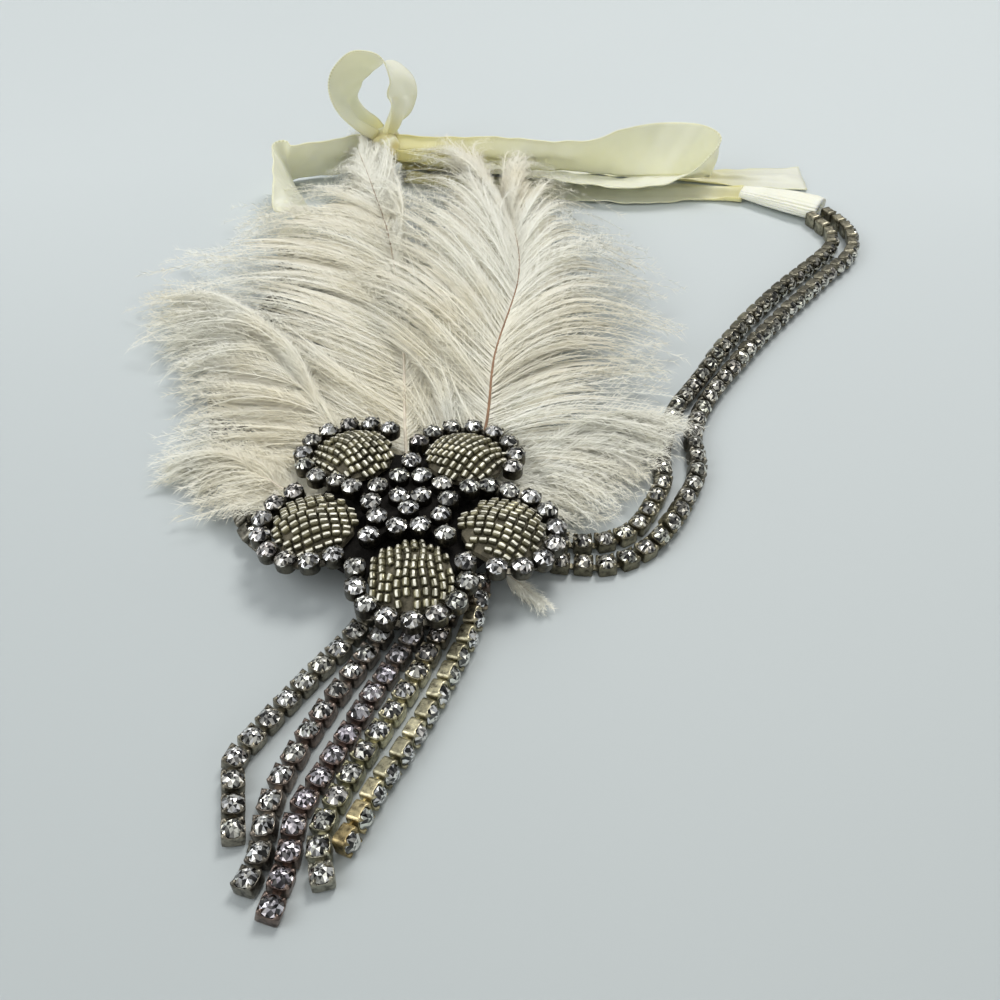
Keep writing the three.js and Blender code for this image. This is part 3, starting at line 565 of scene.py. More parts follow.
def felt_material():
    material, tree, shader = new_material("dark_felt", Roughness=0.95, Specular_IOR_Level=0.2)
    tone = ramp(tree, noise(tree, 800), [(0.3, (0.006, 0.0055, 0.005)), (0.7, (0.016, 0.014, 0.012))])
    tree.links.new(tone, shader.inputs["Base Color"])
    bump(tree, shader, noise(tree, 4000), 0.6, 0.0003)
    return material


def feather_material():
    material, tree, shader = new_material("ostrich_barbs", Roughness=0.75, Sheen_Weight=0.25)
    mottle(tree, shader, noise(tree, 26, 3), [(0.35, (0.96, 0.92, 0.82)), (0.6, (1.0, 1.0, 0.98))])
    return material


def bed_material():
    material, tree, shader = new_material("close_barbs", Roughness=0.85)
    uv = node(tree, "ShaderNodeUVMap", uv_map="UVMap").outputs["UV"]
    stretch = node(tree, "ShaderNodeMapping")
    stretch.inputs["Scale"].default_value = (260, 3, 1)
    tree.links.new(uv, stretch.inputs["Vector"])
    streak = noise(tree, 1, 3, 0.65, stretch.outputs["Vector"])
    # Painted shade: the darker streaks stand for shade between the barbs, over the fibres' own streaks
    mottle(tree, shader, streak, [(0.3, (0.84, 0.80, 0.72)), (0.6, (1.0, 0.99, 0.96))])
    bump(tree, shader, streak, 0.5, 0.0005)
    return material


def quill_material():
    material, tree, shader = new_material("quill_horn", Roughness=0.45)
    mottle(tree, shader, noise(tree, 300), [(0.3, (0.75, 0.72, 0.68)), (0.7, (1.1, 1.05, 1.0))])
    return material


def satin_material(name, colour):
    material, tree, shader = new_material(name, Roughness=0.42, Sheen_Weight=0.25, Specular_IOR_Level=0.45,
                                          Subsurface_Weight=0.6, Subsurface_Radius=(1, 0.95, 0.7),
                                          Subsurface_Scale=0.0015)
    uv = node(tree, "ShaderNodeUVMap", uv_map="UVMap").outputs["UV"]
    split = node(tree, "ShaderNodeSeparateXYZ")
    tree.links.new(uv, split.inputs[0])
    # The selvedge: a denser line along each edge, crossed by small thread loops
    away = node(tree, "ShaderNodeMath", operation="SUBTRACT")
    away.inputs[1].default_value = 0.5
    tree.links.new(split.outputs["Y"], away.inputs[0])
    apart = node(tree, "ShaderNodeMath", operation="ABSOLUTE")
    tree.links.new(away.outputs[0], apart.inputs[0])
    edge = ramp(tree, apart.outputs[0], [(0.465, (0, 0, 0)), (0.47, (1, 1, 1))])
    loops = node(tree, "ShaderNodeTexWave", wave_type="BANDS", bands_direction="X")
    loops.inputs["Scale"].default_value = 0.55
    tree.links.new(uv, loops.inputs["Vector"])
    dots = ramp(tree, loops.outputs["Fac"], [(0.4, (1.05, 1.04, 0.98)), (0.6, (0.8, 0.78, 0.66))])
    weave = node(tree, "ShaderNodeTexWave", wave_type="BANDS", bands_direction="X")
    weave.inputs["Scale"].default_value = 1.4
    weave.inputs["Distortion"].default_value = 0.3
    tree.links.new(uv, weave.inputs["Vector"])
    cloud = ramp(tree, noise(tree, 45, 3), [(0.3, (0.93, 0.93, 0.9)), (0.7, (1.03, 1.03, 1.02))])
    toned = mixed(tree, "MULTIPLY", 1.0, colour, cloud)
    toned = mixed(tree, "MULTIPLY", 1.0, toned, shade_of(tree))
    tree.links.new(mixed(tree, "MULTIPLY", edge, toned, dots), shader.inputs["Base Color"])
    bump(tree, shader, weave.outputs["Fac"], 0.12, 0.00008)
    return material


def floor_material():
    material, tree, shader = new_material("floor_board", Roughness=0.6)
    tone = ramp(tree, noise(tree, 3, 2), [(0.3, (0.61, 0.66, 0.672)), (0.7, (0.635, 0.685, 0.695))])
    split = node(tree, "ShaderNodeSeparateXYZ")
    tree.links.new(node(tree, "ShaderNodeTexCoord").outputs["Object"], split.inputs[0])
    # Painted shade: the board darkens towards the viewer
    away = node(tree, "ShaderNodeMapRange")
    for socket, value in zip(away.inputs[1:5], (-0.16, 0.12, 0.0, 1.0)):
        socket.default_value = value
    tree.links.new(split.outputs["Y"], away.inputs[0])
    viewer_shade = ramp(tree, away.outputs[0], [(0.0, (0.78, 0.785, 0.78)), (1.0, (1.0, 1.0, 1.0))])
    tree.links.new(mixed(tree, "MULTIPLY", 1.0, tone, viewer_shade), shader.inputs["Base Color"])
    bump(tree, shader, noise(tree, 500), 0.05, 0.0002)
    return material


METAL = metal_material()
CRYSTAL = crystal_material()
BEADS = bead_material()
PAD = pad_material()
FELT = felt_material()
BARBS = feather_material()
HORN = quill_material()
BED = bed_material()
SATIN = satin_material("ribbon_satin", (0.90, 0.90, 0.70))
WHITE_SATIN = satin_material("sleeve_satin", (0.92, 0.92, 0.80))


# Settings and stones

def circle(sides):
    """The angles of evenly spaced points round a circle."""
    return np.arange(sides) * 2 * math.pi / sides


def ring_faces(rings, sides):
    """Quads between rings of points that each have the same number of sides."""
    ring, side = np.meshgrid(np.arange(rings - 1), np.arange(sides), indexing="ij")
    a = (ring * sides + side).ravel()
    b = (ring * sides + (side + 1) % sides).ravel()
    return np.column_stack([a, b, b + sides, a + sides])


def cup_part(width, depth, squareness, claws=4, claw_turn=45.0):
    """A thin-walled setting with a straight rim and narrow claws that bend over the stone's edge."""
    angle = circle(CUP_SIDES)
    corner = abs(np.cos(angle)) ** squareness + abs(np.sin(angle)) ** squareness
    radius = width / 2 / corner ** (1 / squareness)
    inward = np.minimum(radius, width / 2) / radius
    claw = np.clip(np.cos(claws * (angle - math.radians(claw_turn))), 0, 1) ** 3
    # Each ring's share of the radius, how far its claws lean in, its height and how far its claws rise
    profile = [(0.0, 0, 0.02, 0), (0.9, 0, 0.02, 0), (0.98, 0, 0.16, 0), (1.0, 0, 0.4, 0),
               (1.0, 0, depth - 0.5, 0), (1.0, 0, depth - 0.3, 0.1), (0.99, 0.02, depth - 0.24, 0.6),
               (0.95, 0.10, depth - 0.22, 0.85), (0.93, 0.16, depth - 0.26, 0.62),
               (0.93, 0.03, depth - 0.5, 0.1), (0.92, 0, depth - 1.2, 0)]
    rings = []
    for scale, pull, height, lift in profile:
        reach = radius * (scale - pull * claw) * (1 - claw * (1 - inward) * (pull > 0.05))
        rings.append(np.column_stack([np.cos(angle) * reach, np.sin(angle) * reach, height + lift * claw]))
    return np.vstack(rings), ring_faces(len(profile), CUP_SIDES)


def stone_part(radius, base, crown):
    """A cut stone: a low cone of mirrors on its table, facets down to its edge, and a short skirt."""
    def ring(count, turn, share, height):
        angle = (np.arange(count) + turn) * 2 * math.pi / count
        return np.column_stack([np.cos(angle) * radius * share, np.sin(angle) * radius * share,
                                np.full(count, height)])
    top = base + crown
    points = np.vstack([[[0, 0, top + 0.22]], ring(8, 0, STONE_TABLE * 0.5, top + 0.14),
                        ring(8, 0.5, STONE_TABLE, top), ring(8, 0, 0.78, base + crown * 0.5),
                        ring(16, 0, 1, base + 0.12), ring(16, 0, 1, base - 0.25)])
    centre, inner, outer, middle, girdle, skirt = 0, 1, 9, 17, 25, 41
    faces = []
    for i in range(8):
        j = (i + 1) % 8
        faces.append((centre, inner + i, inner + j, -1))
        faces.append((inner + i, outer + i, inner + j, -1))
        faces.append((inner + j, outer + i, outer + j, -1))
        faces.append((outer + i, middle + j, outer + j, -1))
        edge = girdle + 2 * i
        faces.append((middle + i, edge + 1, outer + i, -1))
        faces.append((outer + i, edge + 1, middle + j, -1))
        faces.append((middle + i, edge, edge + 1, -1))
        faces.append((edge + 1, girdle + (2 * i + 2) % 16, middle + j, -1))
    for i in range(16):
        j = (i + 1) % 16
        faces.append((girdle + i, skirt + i, skirt + j, girdle + j))
    return points, np.array(faces)


def painted_facet_shades(frames, faces, tint, spread=0.0):
    """Painted reflections: bright and dark mirrors in each stone, as foil behind cut glass shows them."""
    shades = rng.choice([0.01, 0.06, 0.3, 0.8, 1.0], size=(frames, faces), p=[0.24, 0.18, 0.14, 0.18, 0.26])
    shades *= rng.uniform(0.8, 1.2, size=(frames, 1))
    colour = np.asarray(tint, float) * (1 + spread * rng.normal(size=(frames, 3)))
    return np.clip(shades[:, :, None] * colour[:, None, :] * 1.5, 0, 1)


SQUARE_CUP = cup_part(CUP_SIDE, CUP_DEPTH, 9.0)
ROUND_CUP = cup_part(ROUND_CUP_WIDTH, ROUND_CUP_DEPTH, 2.4)
CHAIN_STONE = stone_part(CHAIN_STONE_RADIUS, CUP_DEPTH - 0.12, STONE_CROWN)
RIM_STONE = stone_part(RIM_STONE_RADIUS, ROUND_CUP_DEPTH - 0.1, STONE_CROWN)
LINK = (np.array([(x, y * LINK_HALF_WIDTH, z * LINK_HALF_THICK)
                  for x in (0, 1) for y, z in ((-1, -1), (1, -1), (1, 1), (-1, 1))]),
        np.array([(0, 1, 5, 4), (1, 2, 6, 5), (2, 3, 7, 6), (3, 0, 4, 7), (3, 2, 1, 0), (4, 5, 6, 7)]))


def link_frames(frames, width):
    """Short bars from one setting to the next."""
    result = []
    for one, other in zip(frames, frames[1:]):
        start = (one @ [width / 2 - LINK_HOLD, 0, LINK_RISE, 1])[:3]
        end = (other @ [LINK_HOLD - width / 2, 0, LINK_RISE, 1])[:3]
        across = unit(np.cross(one[:3, 2], end - start))
        result.append(matrix(end - start, across, unit(np.cross(end - start, across)), start))
    return np.array(result)


def add_settings(bag, frames, cup, stone, width, tint, metal, linked=True):
    frames = np.asarray(frames)
    wobble = [frame @ rotation(rng.normal(0, SETTING_LEAN), "X") @ rotation(rng.normal(0, SETTING_LEAN), "Y")
              for frame in frames]
    metal = np.broadcast_to(np.asarray(metal, float), (len(frames), 3))
    worn = metal * rng.uniform(0.7, 1.25, size=(len(frames), 1))
    bag.stamp(cup, wobble, 0, worn, True)
    turned = [frame @ rotation(rng.uniform(0, 45), "Z") for frame in wobble]
    bag.stamp(stone, turned, 1, painted_facet_shades(len(frames), len(stone[1]), tint, 0.015))
    if linked:
        bag.stamp(LINK, link_frames(frames, width), 0, worn[1:])


def seated_frame(point, tangent, roll):
    """A setting that faces up, or rolled onto its side, with its lowest corner at the route's height."""
    side = unit([-tangent[1], tangent[0], 0])
    frame_at = matrix(tangent, side, np.cross(tangent, side), (0, 0, 0)) @ rotation(roll, "X")
    half = CUP_SIDE / 2
    outline = [(half, 0), (half, CUP_DEPTH), (-half, 0), (-half, CUP_DEPTH), (0, CUP_DEPTH + STONE_CROWN)]
    lowest = min((frame_at @ [x, y, z, 1])[2] for y, z in outline for x in (half, -half))
    middle = (frame_at @ [0, 0, CUP_DEPTH / 2, 1])[:3]
    frame_at[:3, 3] = point[0] - middle[0], point[1] - middle[1], point[2] - lowest
    return frame_at


def chain_frames(route, rolls):
    path = Path(route)
    count = round(path.length / PITCH)
    shares = (np.arange(count) + 0.5) / count
    turns = np.interp(shares, *zip(*rolls))
    return [seated_frame(path.at(s)[0], path.tangent(s)[0], turn) for s, turn in zip(shares, turns)]


def chain(name, route, rolls, tint, metals):
    """metals has rows of share and colour along the chain."""
    frames = chain_frames(route, rolls)
    shares = np.linspace(0, 1, len(frames))
    places, colours = [row[0] for row in metals], np.array([row[1] for row in metals])
    metal = np.column_stack([np.interp(shares, places, colours[:, k]) for k in range(3)])
    bag = Bag()
    add_settings(bag, frames, SQUARE_CUP, CHAIN_STONE, CUP_SIDE, tint, metal)
    piece = bag.build(f"{name}_stones", [METAL, CRYSTAL])
    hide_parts(name)


def make_chains():
    looks = [
        (CLEAR, [(0, PEWTER), (0.5, (0.34, 0.32, 0.26)), (1, (0.30, 0.28, 0.24))]),
        (CLEAR, [(0, PEWTER), (0.5, ROSE), (1, PEWTER)]),
        ((0.62, 0.57, 0.62), [(0, PEWTER), (0.4, (0.24, 0.19, 0.18)), (1, ROSE)]),
        (CLEAR, [(0, ROSE), (0.35, PALE_GOLD), (0.75, (0.42, 0.41, 0.28)), (1, (0.5, 0.49, 0.42))]),
        (CLEAR, [(0, ROSE), (0.2, PALE_GOLD), (0.8, PALE_GOLD), (1, OLD_GOLD)]),
    ]
    for number, ((route, rolls), (tint, metals)) in enumerate(zip(PENDANTS, looks), 1):
        chain(f"pendant_strand_{number}", route, rolls, tint, metals)
    chain("right_chain_outer", RIGHT_OUTER, OUTER_ROLLS, SMOKY, RIGHT_CHAIN_METALS)
    chain("right_chain_inner", RIGHT_INNER, INNER_ROLLS, SMOKY, RIGHT_CHAIN_METALS)
    path = Path(LEFT_ROUTE)
    parameters = np.linspace(0, 1, len(LEFT_ROUTE))
    ahead = path.at_parameter(parameters + 1e-3) - path.at_parameter(parameters - 1e-3)
    across = unit(np.column_stack([-ahead[:, 1], ahead[:, 0], np.zeros(len(ahead))]))
    for name, way in (("left_chain_outer", 1), ("left_chain_inner", -1)):
        chain(name, path.points + across * way * STRAND_SPACING / 2, LEFT_ROLLS, SMOKY, HIDDEN_CHAIN)


# Flower

def petal_frame(bearing, reach):
    angle = math.radians(bearing)
    middle = FLOWER + PETAL_REACH * reach * np.array([math.cos(angle), math.sin(angle)])
    return shift(*middle, PETAL_HEIGHT) @ rotation(bearing, "Z") @ rotation(PETAL_TILT, "Y")


def is_clear(candidate, taken):
    return all(np.hypot(*(candidate[:2, 3] - other[:2, 3])) > ROUND_CUP_WIDTH + GAP for other in taken)


def rim_frames(bearing, reach, taken):
    count = round(2 * math.pi * RIM_RADIUS / PITCH)

    def at(place):
        turn = place * 360 / count
        x, y = RIM_RADIUS * math.cos(math.radians(turn)), RIM_RADIUS * math.sin(math.radians(turn))
        return petal_frame(bearing, reach) @ shift(x, y, RIM_LIFT) @ rotation(turn + 90, "Z")

    frames = []
    place = 0
    while place < count / 2 and (place == 0 or is_clear(at(place), taken)):
        frames.append(at(place))
        place += 1
    place = -1
    while place > -count / 2 and is_clear(at(place), taken):
        frames.insert(0, at(place))
        place -= 1
    return frames


def valley_bearings():
    bearings = [bearing for bearing, _ in PETALS.values()]
    following = bearings[1:] + bearings[:1]
    return [(one + other + (360 if other < one else 0)) / 2 for one, other in zip(bearings, following)]


def centre_frames():
    spots = [(radius, start + i * 360 / count) for radius, count, start in CENTRE_RINGS for i in range(count)]
    spots += [(VALLEY_RADIUS, bearing) for bearing in valley_bearings()]
    frames = []
    for radius, bearing in spots:
        x, y = FLOWER + radius * np.array([math.cos(math.radians(bearing)), math.sin(math.radians(bearing))])
        frames.append(shift(x, y, CENTRE_TOP - CUP_SINK) @ rotation(bearing, "Z"))
    return frames


def spare_frames(taken):
    """Stones sewn to the backing wherever the rims and the middle leave room for one."""
    pads = [petal_frame(bearing, reach)[:2, 3] for bearing, reach in PETALS.values()]
    steps = np.arange(-SPARE_REACH - 1, SPARE_REACH + 1.1, SPARE_STEP)
    spots = sorted((math.hypot(x, y), x, y) for x in steps for y in steps)
    frames = []
    for distance, x, y in spots:
        turn = math.degrees(math.atan2(y, x))
        here = shift(FLOWER[0] + x, FLOWER[1] + y, PETAL_HEIGHT) @ rotation(turn, "Z")
        off_pads = min(np.hypot(*(here[:2, 3] - pad)) for pad in pads) > PAD_RADIUS + ROUND_CUP_WIDTH / 2
        if distance < SPARE_REACH and off_pads and is_clear(here, taken + frames):
            frames.append(here)
    return frames


def add_centre_base(bag):
    """The plate below the middle stones, with an arm out to the stone between each two petals."""
    sides = BASE_SIDES
    angle = circle(sides)
    reach = np.full(sides, CENTRE_BASE_RADIUS)
    for bearing in valley_bearings():
        apart = np.abs(turn_between(angle, math.radians(bearing)))
        arm = np.minimum(VALLEY_RADIUS, ARM_WIDTH / 2 / np.maximum(np.sin(np.minimum(apart, ARM_TURN)), 1e-3))
        reach = np.where(apart < ARM_TURN, np.maximum(reach, arm), reach)
    x, y = FLOWER[0] + reach * np.cos(angle), FLOWER[1] + reach * np.sin(angle)
    rings = [np.column_stack([x, y, np.full(sides, z)]) for z in (PETAL_HEIGHT, CENTRE_TOP)]
    middle = [[*FLOWER, PETAL_HEIGHT], [*FLOWER, CENTRE_TOP]]
    points = np.vstack(rings + [middle])
    side = np.arange(sides)
    after = (side + 1) % sides
    top = np.column_stack([np.full(sides, 2 * sides + 1), sides + side, sides + after])
    under = np.column_stack([np.full(sides, 2 * sides), after, side])
    bag.add(points, ring_faces(2, sides), 2)
    bag.add(points, np.vstack([top, under]), 2)


def bead_part():
    """A short tube with rounded edges along x."""
    angle = circle(BEAD_SIDES)
    rings = [np.column_stack([np.full(BEAD_SIDES, x * BEAD_LENGTH / 2), np.cos(angle) * BEAD_RADIUS * r,
                              np.sin(angle) * BEAD_RADIUS * r]) for x, r in BEAD_PROFILE]
    return np.vstack(rings), ring_faces(len(BEAD_PROFILE), BEAD_SIDES)


def bead_shades_with_highlight(count):
    """Olive glass with a painted highlight: a bright line along the top, where the silvered lining catches
    the light.
    """
    line = np.zeros((len(BEAD_PROFILE) - 1, BEAD_SIDES))
    line[2:5, 2] = 1
    body = np.array(OLIVE_GLASS) * rng.uniform(0.5, 1.6, size=(count, 1, 1))
    highlight = np.array(LINING_HIGHLIGHT) * rng.uniform(0.72, 1.0, size=(count, 1, 1))
    line = line.reshape(1, -1, 1)
    return body * (1 - line) + highlight * line


def dome(x, y):
    share = np.hypot(x, y) / PAD_RADIUS
    return PAD_EDGE + (PAD_CROWN - PAD_EDGE) * (1 - share ** 2)


def bead_frame(x, y, turn):
    """A bead that lies on the dome at a place and points a little off x."""
    step = 0.1
    steep = 2 * (PAD_CROWN - PAD_EDGE)
    ahead = unit([step, turn * step, dome(x + step, y) - dome(x, y)])
    normal = unit([steep * x / PAD_RADIUS ** 2, steep * y / PAD_RADIUS ** 2, 1])
    side = unit(np.cross(normal, ahead))
    lift = 0.42 * BEAD_RADIUS + rng.normal(0, 0.05)
    spot = np.array([x, y, dome(x, y)]) + normal * lift
    return matrix(ahead, side, np.cross(ahead, side), spot)


def bead_frames(base):
    """Rows of beads that fan out from the flower's middle over the pad."""
    frames = []
    for row in range(BEAD_ROWS):
        offset = (row - (BEAD_ROWS - 1) / 2) * BEAD_ROW_PITCH
        x = -PAD_RADIUS + rng.uniform(0.2, 0.9)
        while x < PAD_RADIUS:
            fan = 1 - BEAD_FAN + BEAD_FAN * x / PAD_RADIUS
            sway = BEAD_SWAY_RATE * x + BEAD_SWAY_STEP * row
            y = offset * fan + BEAD_SWAY * math.sin(sway) + rng.normal(0, 0.06)
            if np.hypot(x, y) < PAD_RADIUS and rng.random() > MISSING_BEADS:
                turn = offset * BEAD_FAN / PAD_RADIUS + 0.12 * math.cos(sway) + rng.normal(0, 0.06)
                frames.append(base @ bead_frame(x, y, turn))
            x += BEAD_PITCH * rng.uniform(0.97, 1.05)
    return frames


def make_flower():
    centre = centre_frames()
    taken = list(centre)
    rims = {}
    for name, (bearing, reach) in PETALS.items():
        rims[name] = rim_frames(bearing, reach, taken)
        taken.extend(rims[name])
    bag = Bag()
    for frames in (centre, spare_frames(taken)):
        add_settings(bag, frames, ROUND_CUP, RIM_STONE, ROUND_CUP_WIDTH, CLEAR, BLACKENED, linked=False)
    add_centre_base(bag)
    piece = bag.build("flower_centre_stones", [METAL, CRYSTAL, FELT])
    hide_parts("flower_centre")
    bead = bead_part()
    for name, (bearing, reach) in PETALS.items():
        bag = Bag()
        add_settings(bag, rims[name], ROUND_CUP, RIM_STONE, ROUND_CUP_WIDTH, CLEAR, BLACKENED)
        piece = bag.build(f"rim_{name}_stones", [METAL, CRYSTAL])
        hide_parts(f"rim_{name}")
        beads = bead_frames(petal_frame(bearing, reach))
        bag = Bag()
        bag.stamp(bead, beads, 0, bead_shades_with_highlight(len(beads)), True)
        piece = bag.build(f"petal_{name}_beads", [BEADS])


# Feathers

def flow_bearing(x, y):
    """The bearing, in radians, that barbs turn to at a place."""
    apart = np.hypot(x[..., None] - FLOW[:, 0], y[..., None] - FLOW[:, 1])
    weight = 1 / (apart ** 2 + FLOW_REACH ** 2) ** 1.5
    bearing = np.radians(FLOW[:, 2])
    return np.arctan2((np.sin(bearing) * weight).sum(axis=-1), (np.cos(bearing) * weight).sum(axis=-1))


def turn_between(start, end):
    return (end - start + math.pi) % (2 * math.pi) - math.pi


def scatter(loose, size):
    return rng.normal(size=size) * loose


def lock_scatter(along, settings, loose):
    """Four draws that the barbs of a lock share, and each barb's place across its lock."""
    locks = max(4, settings["count"] // 14)
    position = np.clip(along * locks, 0, locks - 1e-6)
    lock = position.astype(int)
    return [scatter(loose, locks)[lock] for _ in range(4)], position - lock - 0.5


def barb_heights(settings, flat, start, reach, along, rise, loose):
    """Barbs arch up from the quill and come to rest, over what they cover and under the petals."""
    count = len(along)
    t = np.linspace(0, 1, BARB_STEPS + 1)[None, :]
    size = np.clip(reach / 45, 0.15, 1.2)[:, None]
    low = 0.3 + 0.7 * np.minimum(along / 0.4, 1)
    arch = size * (settings["arch"] * low + 1.1 * rise + 0.9 * scatter(loose, count))[:, None]
    rest = settings["rest"] + (np.abs(scatter(loose, count)) * 1.6 + np.clip(rise, 0, 2))[:, None]
    fall = t ** 1.6
    z = start * (1 - fall) + rest * fall + arch * np.sin(math.pi * t ** 0.85)
    z = np.maximum(z, lift_over(flat[..., 0], flat[..., 1]) + 0.4)
    from_flower = np.hypot(flat[..., 0] - FLOWER[0], flat[..., 1] - FLOWER[1])
    return np.minimum(z, BELOW_FLOWER + np.maximum(from_flower - FLOWER_REACH, 0) * 1.2)


def barb_lines(path, settings, side, along, loose):
    """Middle lines of barbs that leave one side of a quill and turn into the flow of the whole mass."""
    lengths, openings = settings["left" if side > 0 else "right"]
    count = len(along)
    share = settings["bare"] + (1 - settings["bare"]) * along
    root, tangent = path.at(share), path.tangent(share)
    (lock_turn, lock_reach, lock_rise, lock_phase), within = lock_scatter(along, settings, loose)

    def along_quill(values):
        return np.interp(along, np.linspace(0, 1, len(values)), values)

    reach = along_quill(lengths) * (1 + 0.09 * lock_reach + 0.08 * scatter(loose, count))
    reach = reach * np.where(rng.random(count) < 0.22 * loose, rng.uniform(0.45, 0.9, count), 1)
    angle = np.arctan2(tangent[:, 1], tangent[:, 0])
    angle = angle + side * np.radians(along_quill(openings) + 4 * lock_turn + 3 * scatter(loose, count))
    step = reach / BARB_STEPS
    x, y = root[:, 0].copy(), root[:, 1].copy()
    spots = [np.stack([x, y], axis=1)]
    stray = np.where(rng.random(count) < 0.16, 3.0, 1.0)
    drift = np.radians(8.5 * lock_turn + 5 * stray * scatter(loose, count) - 10 * within * loose * side)
    for k in range(BARB_STEPS):
        part = (k + 1) / BARB_STEPS
        wave = 0.10 * part * np.sin(2 * math.pi * (1.15 * part + 0.3 * lock_phase)) * loose
        angle = angle + turn_between(angle, flow_bearing(x, y) + 2.2 * drift * part + wave * 3) * FLOW_PULL
        x = x + np.cos(angle) * step
        y = y + np.sin(angle) * step
        spots.append(np.stack([x, y], axis=1))
    flat = np.stack(spots, axis=1)
    z = barb_heights(settings, flat, root[:, 2:3], reach, along, lock_rise, loose)
    return np.concatenate([flat, z[..., None]], axis=2), reach


def strips(middle, across, width):
    """Flat ribbons round middle lines: their points, and faces between each two steps."""
    count, steps = middle.shape[0], middle.shape[1] - 1
    reach = across * width[..., None] / 2
    points = np.stack([middle - reach, middle + reach], axis=2).reshape(-1, 3)
    base = np.arange(count)[:, None] * (steps + 1) * 2 + np.arange(steps)[None, :] * 2
    return points, np.stack([base, base + 1, base + 3, base + 2], axis=2).reshape(-1, 4)


def tilted(ahead, amount):
    """The direction across each barb, a little off the level."""
    level = np.array([0, 0, 1.0]) + rng.normal(0, amount, size=(len(ahead), 1, 3))
    return unit(np.cross(ahead, level))


def resampled(lines, share):
    """The same lines cut to a share of their length, in LOCK_STEPS steps."""
    place = np.linspace(0, 1, LOCK_STEPS + 1)[None, :] * share[:, None] * BARB_STEPS
    index = np.minimum(place.astype(int), BARB_STEPS - 1)
    part = (place - index)[..., None]
    row = np.arange(len(lines))[:, None]
    return lines[row, index] * (1 - part) + lines[row, index + 1] * part


def add_locks(bag, path, settings, side):
    """The close lower barbs of a vane: flat tapering locks that lie under the loose ones."""
    count = settings["count"] // 2
    along = (np.arange(count) + 0.5) / count
    lines, whole = barb_lines(path, settings, side, along, 0.35)
    share = rng.uniform(0.4, 0.88, count)
    middle = resampled(lines, share)
    over = lift_over(middle[..., 0], middle[..., 1]) + 0.15
    middle[..., 2] = np.maximum(middle[..., 2] - 1.3, np.maximum(over, 0.5))
    t = np.linspace(0, 1, LOCK_STEPS + 1)[None, :]
    width = LOCK_WIDTH * (0.4 + 0.6 * np.minimum(t * 2.5, 1)) * (1 - t ** 3)
    width = width * np.clip(whole / 25, 0.15, 1)[:, None]
    ahead = unit(np.gradient(middle, axis=1))
    strip, faces = strips(middle, tilted(ahead, 0.12), width)
    tone = np.array(SHADED_LOCK_TONE) * rng.uniform(0.94, 1.03, size=(count, 1))
    u = along[:, None, None] + np.array([0, 1.0])[None, None, :] * LOCK_WIDTH / path.length
    uv = np.stack(np.broadcast_arrays(u, (t * share[:, None])[..., None]), axis=3)
    up = upward(ahead) + rng.normal(0, 0.06, size=(count, 1, 3))
    bag.add(strip, faces, 2, np.repeat(np.clip(tone, 0, 1), LOCK_STEPS, axis=0), True,
            uv.reshape(-1, 2), unit(np.repeat(up, 2, axis=1)).reshape(-1, 3))


def upward(ahead):
    """The direction square to a barb that points up the most."""
    up = np.array([0, 0, 1.0])
    return unit(up - ahead * ahead[..., 2:3])


def vane(bag, path, settings, side):
    """Loose barbs on one side of a quill, in locks whose barbs lean together, with fine barbules."""
    count = settings["count"] // 1
    along = ((np.arange(count) + rng.uniform(0, 1, count)) / count) ** 1.2
    tip = along[::6]
    along[::6] = 1 - 0.24 * rng.uniform(0, 1, len(tip)) ** 1.4
    points, reach = barb_lines(path, settings, side, along, 1.0)
    t = np.linspace(0, 1, BARB_STEPS + 1)[None, :]
    width = (0.28 - 0.18 * t) * np.clip(reach / 20, 0.6, 1)[:, None]
    ahead = unit(np.gradient(points, axis=1))
    strip, faces = strips(points, tilted(ahead, 0.3), width)
    tone = np.array(BARB_TONE) * rng.uniform(0.92, 1.04, size=(count, 1))
    up = upward(ahead) + rng.normal(0, 0.12, size=(count, 1, 3))
    bag.add(strip, faces, 0, np.repeat(np.clip(tone, 0, 1), BARB_STEPS, axis=0), True,
            normals=unit(np.repeat(up, 2, axis=1)).reshape(-1, 3))
    add_barbules(bag, points, ahead, reach, tone)


def add_barbules(bag, points, ahead, reach, tone):
    """Fine hairs on both sides of each barb, one thin triangle each."""
    pitch = BARBULE_PITCH
    number = np.maximum(3, (reach / pitch).astype(int))
    owner = np.repeat(np.arange(len(points)), number)
    place = rng.uniform(0.02, 1, len(owner)) ** 0.9
    steps = points.shape[1] - 1
    index = np.minimum((place * steps).astype(int), steps - 1)
    share = (place * steps - index)[:, None]
    start = points[owner, index] * (1 - share) + points[owner, index + 1] * share
    forward = ahead[owner, index]
    flat = unit(np.cross(forward, [0, 0, 1.0]))
    way = rng.choice([-1.0, 1.0], len(owner))[:, None]
    spread = np.radians(rng.uniform(*BARBULE_SPREAD, len(owner)))[:, None]
    direction = forward * np.cos(spread) + flat * way * np.sin(spread)
    direction[:, 2] += rng.normal(0, 0.3, len(owner))
    full = np.clip(reach[owner] / 25, 0.5, 1) * (1 - 0.3 * place)
    length = (rng.uniform(*BARBULE_LENGTHS, len(owner)) * full)[:, None]
    tip = start + unit(direction) * length
    tip[:, 2] = np.maximum(tip[:, 2], 0.3)
    half = -forward * way * BARBULE_HALF_BASE
    triangles = np.stack([start - half, start + half, tip], axis=1)
    faces = np.arange(len(owner) * 3).reshape(-1, 3)
    normals = unit(upward(forward) + 0.2 * way * flat + rng.normal(0, 0.12, size=forward.shape))
    bag.add(triangles.reshape(-1, 3), faces, 0, np.clip(tone[owner] * 1.03, 0, 1), True,
            normals=np.repeat(normals, 3, axis=0))


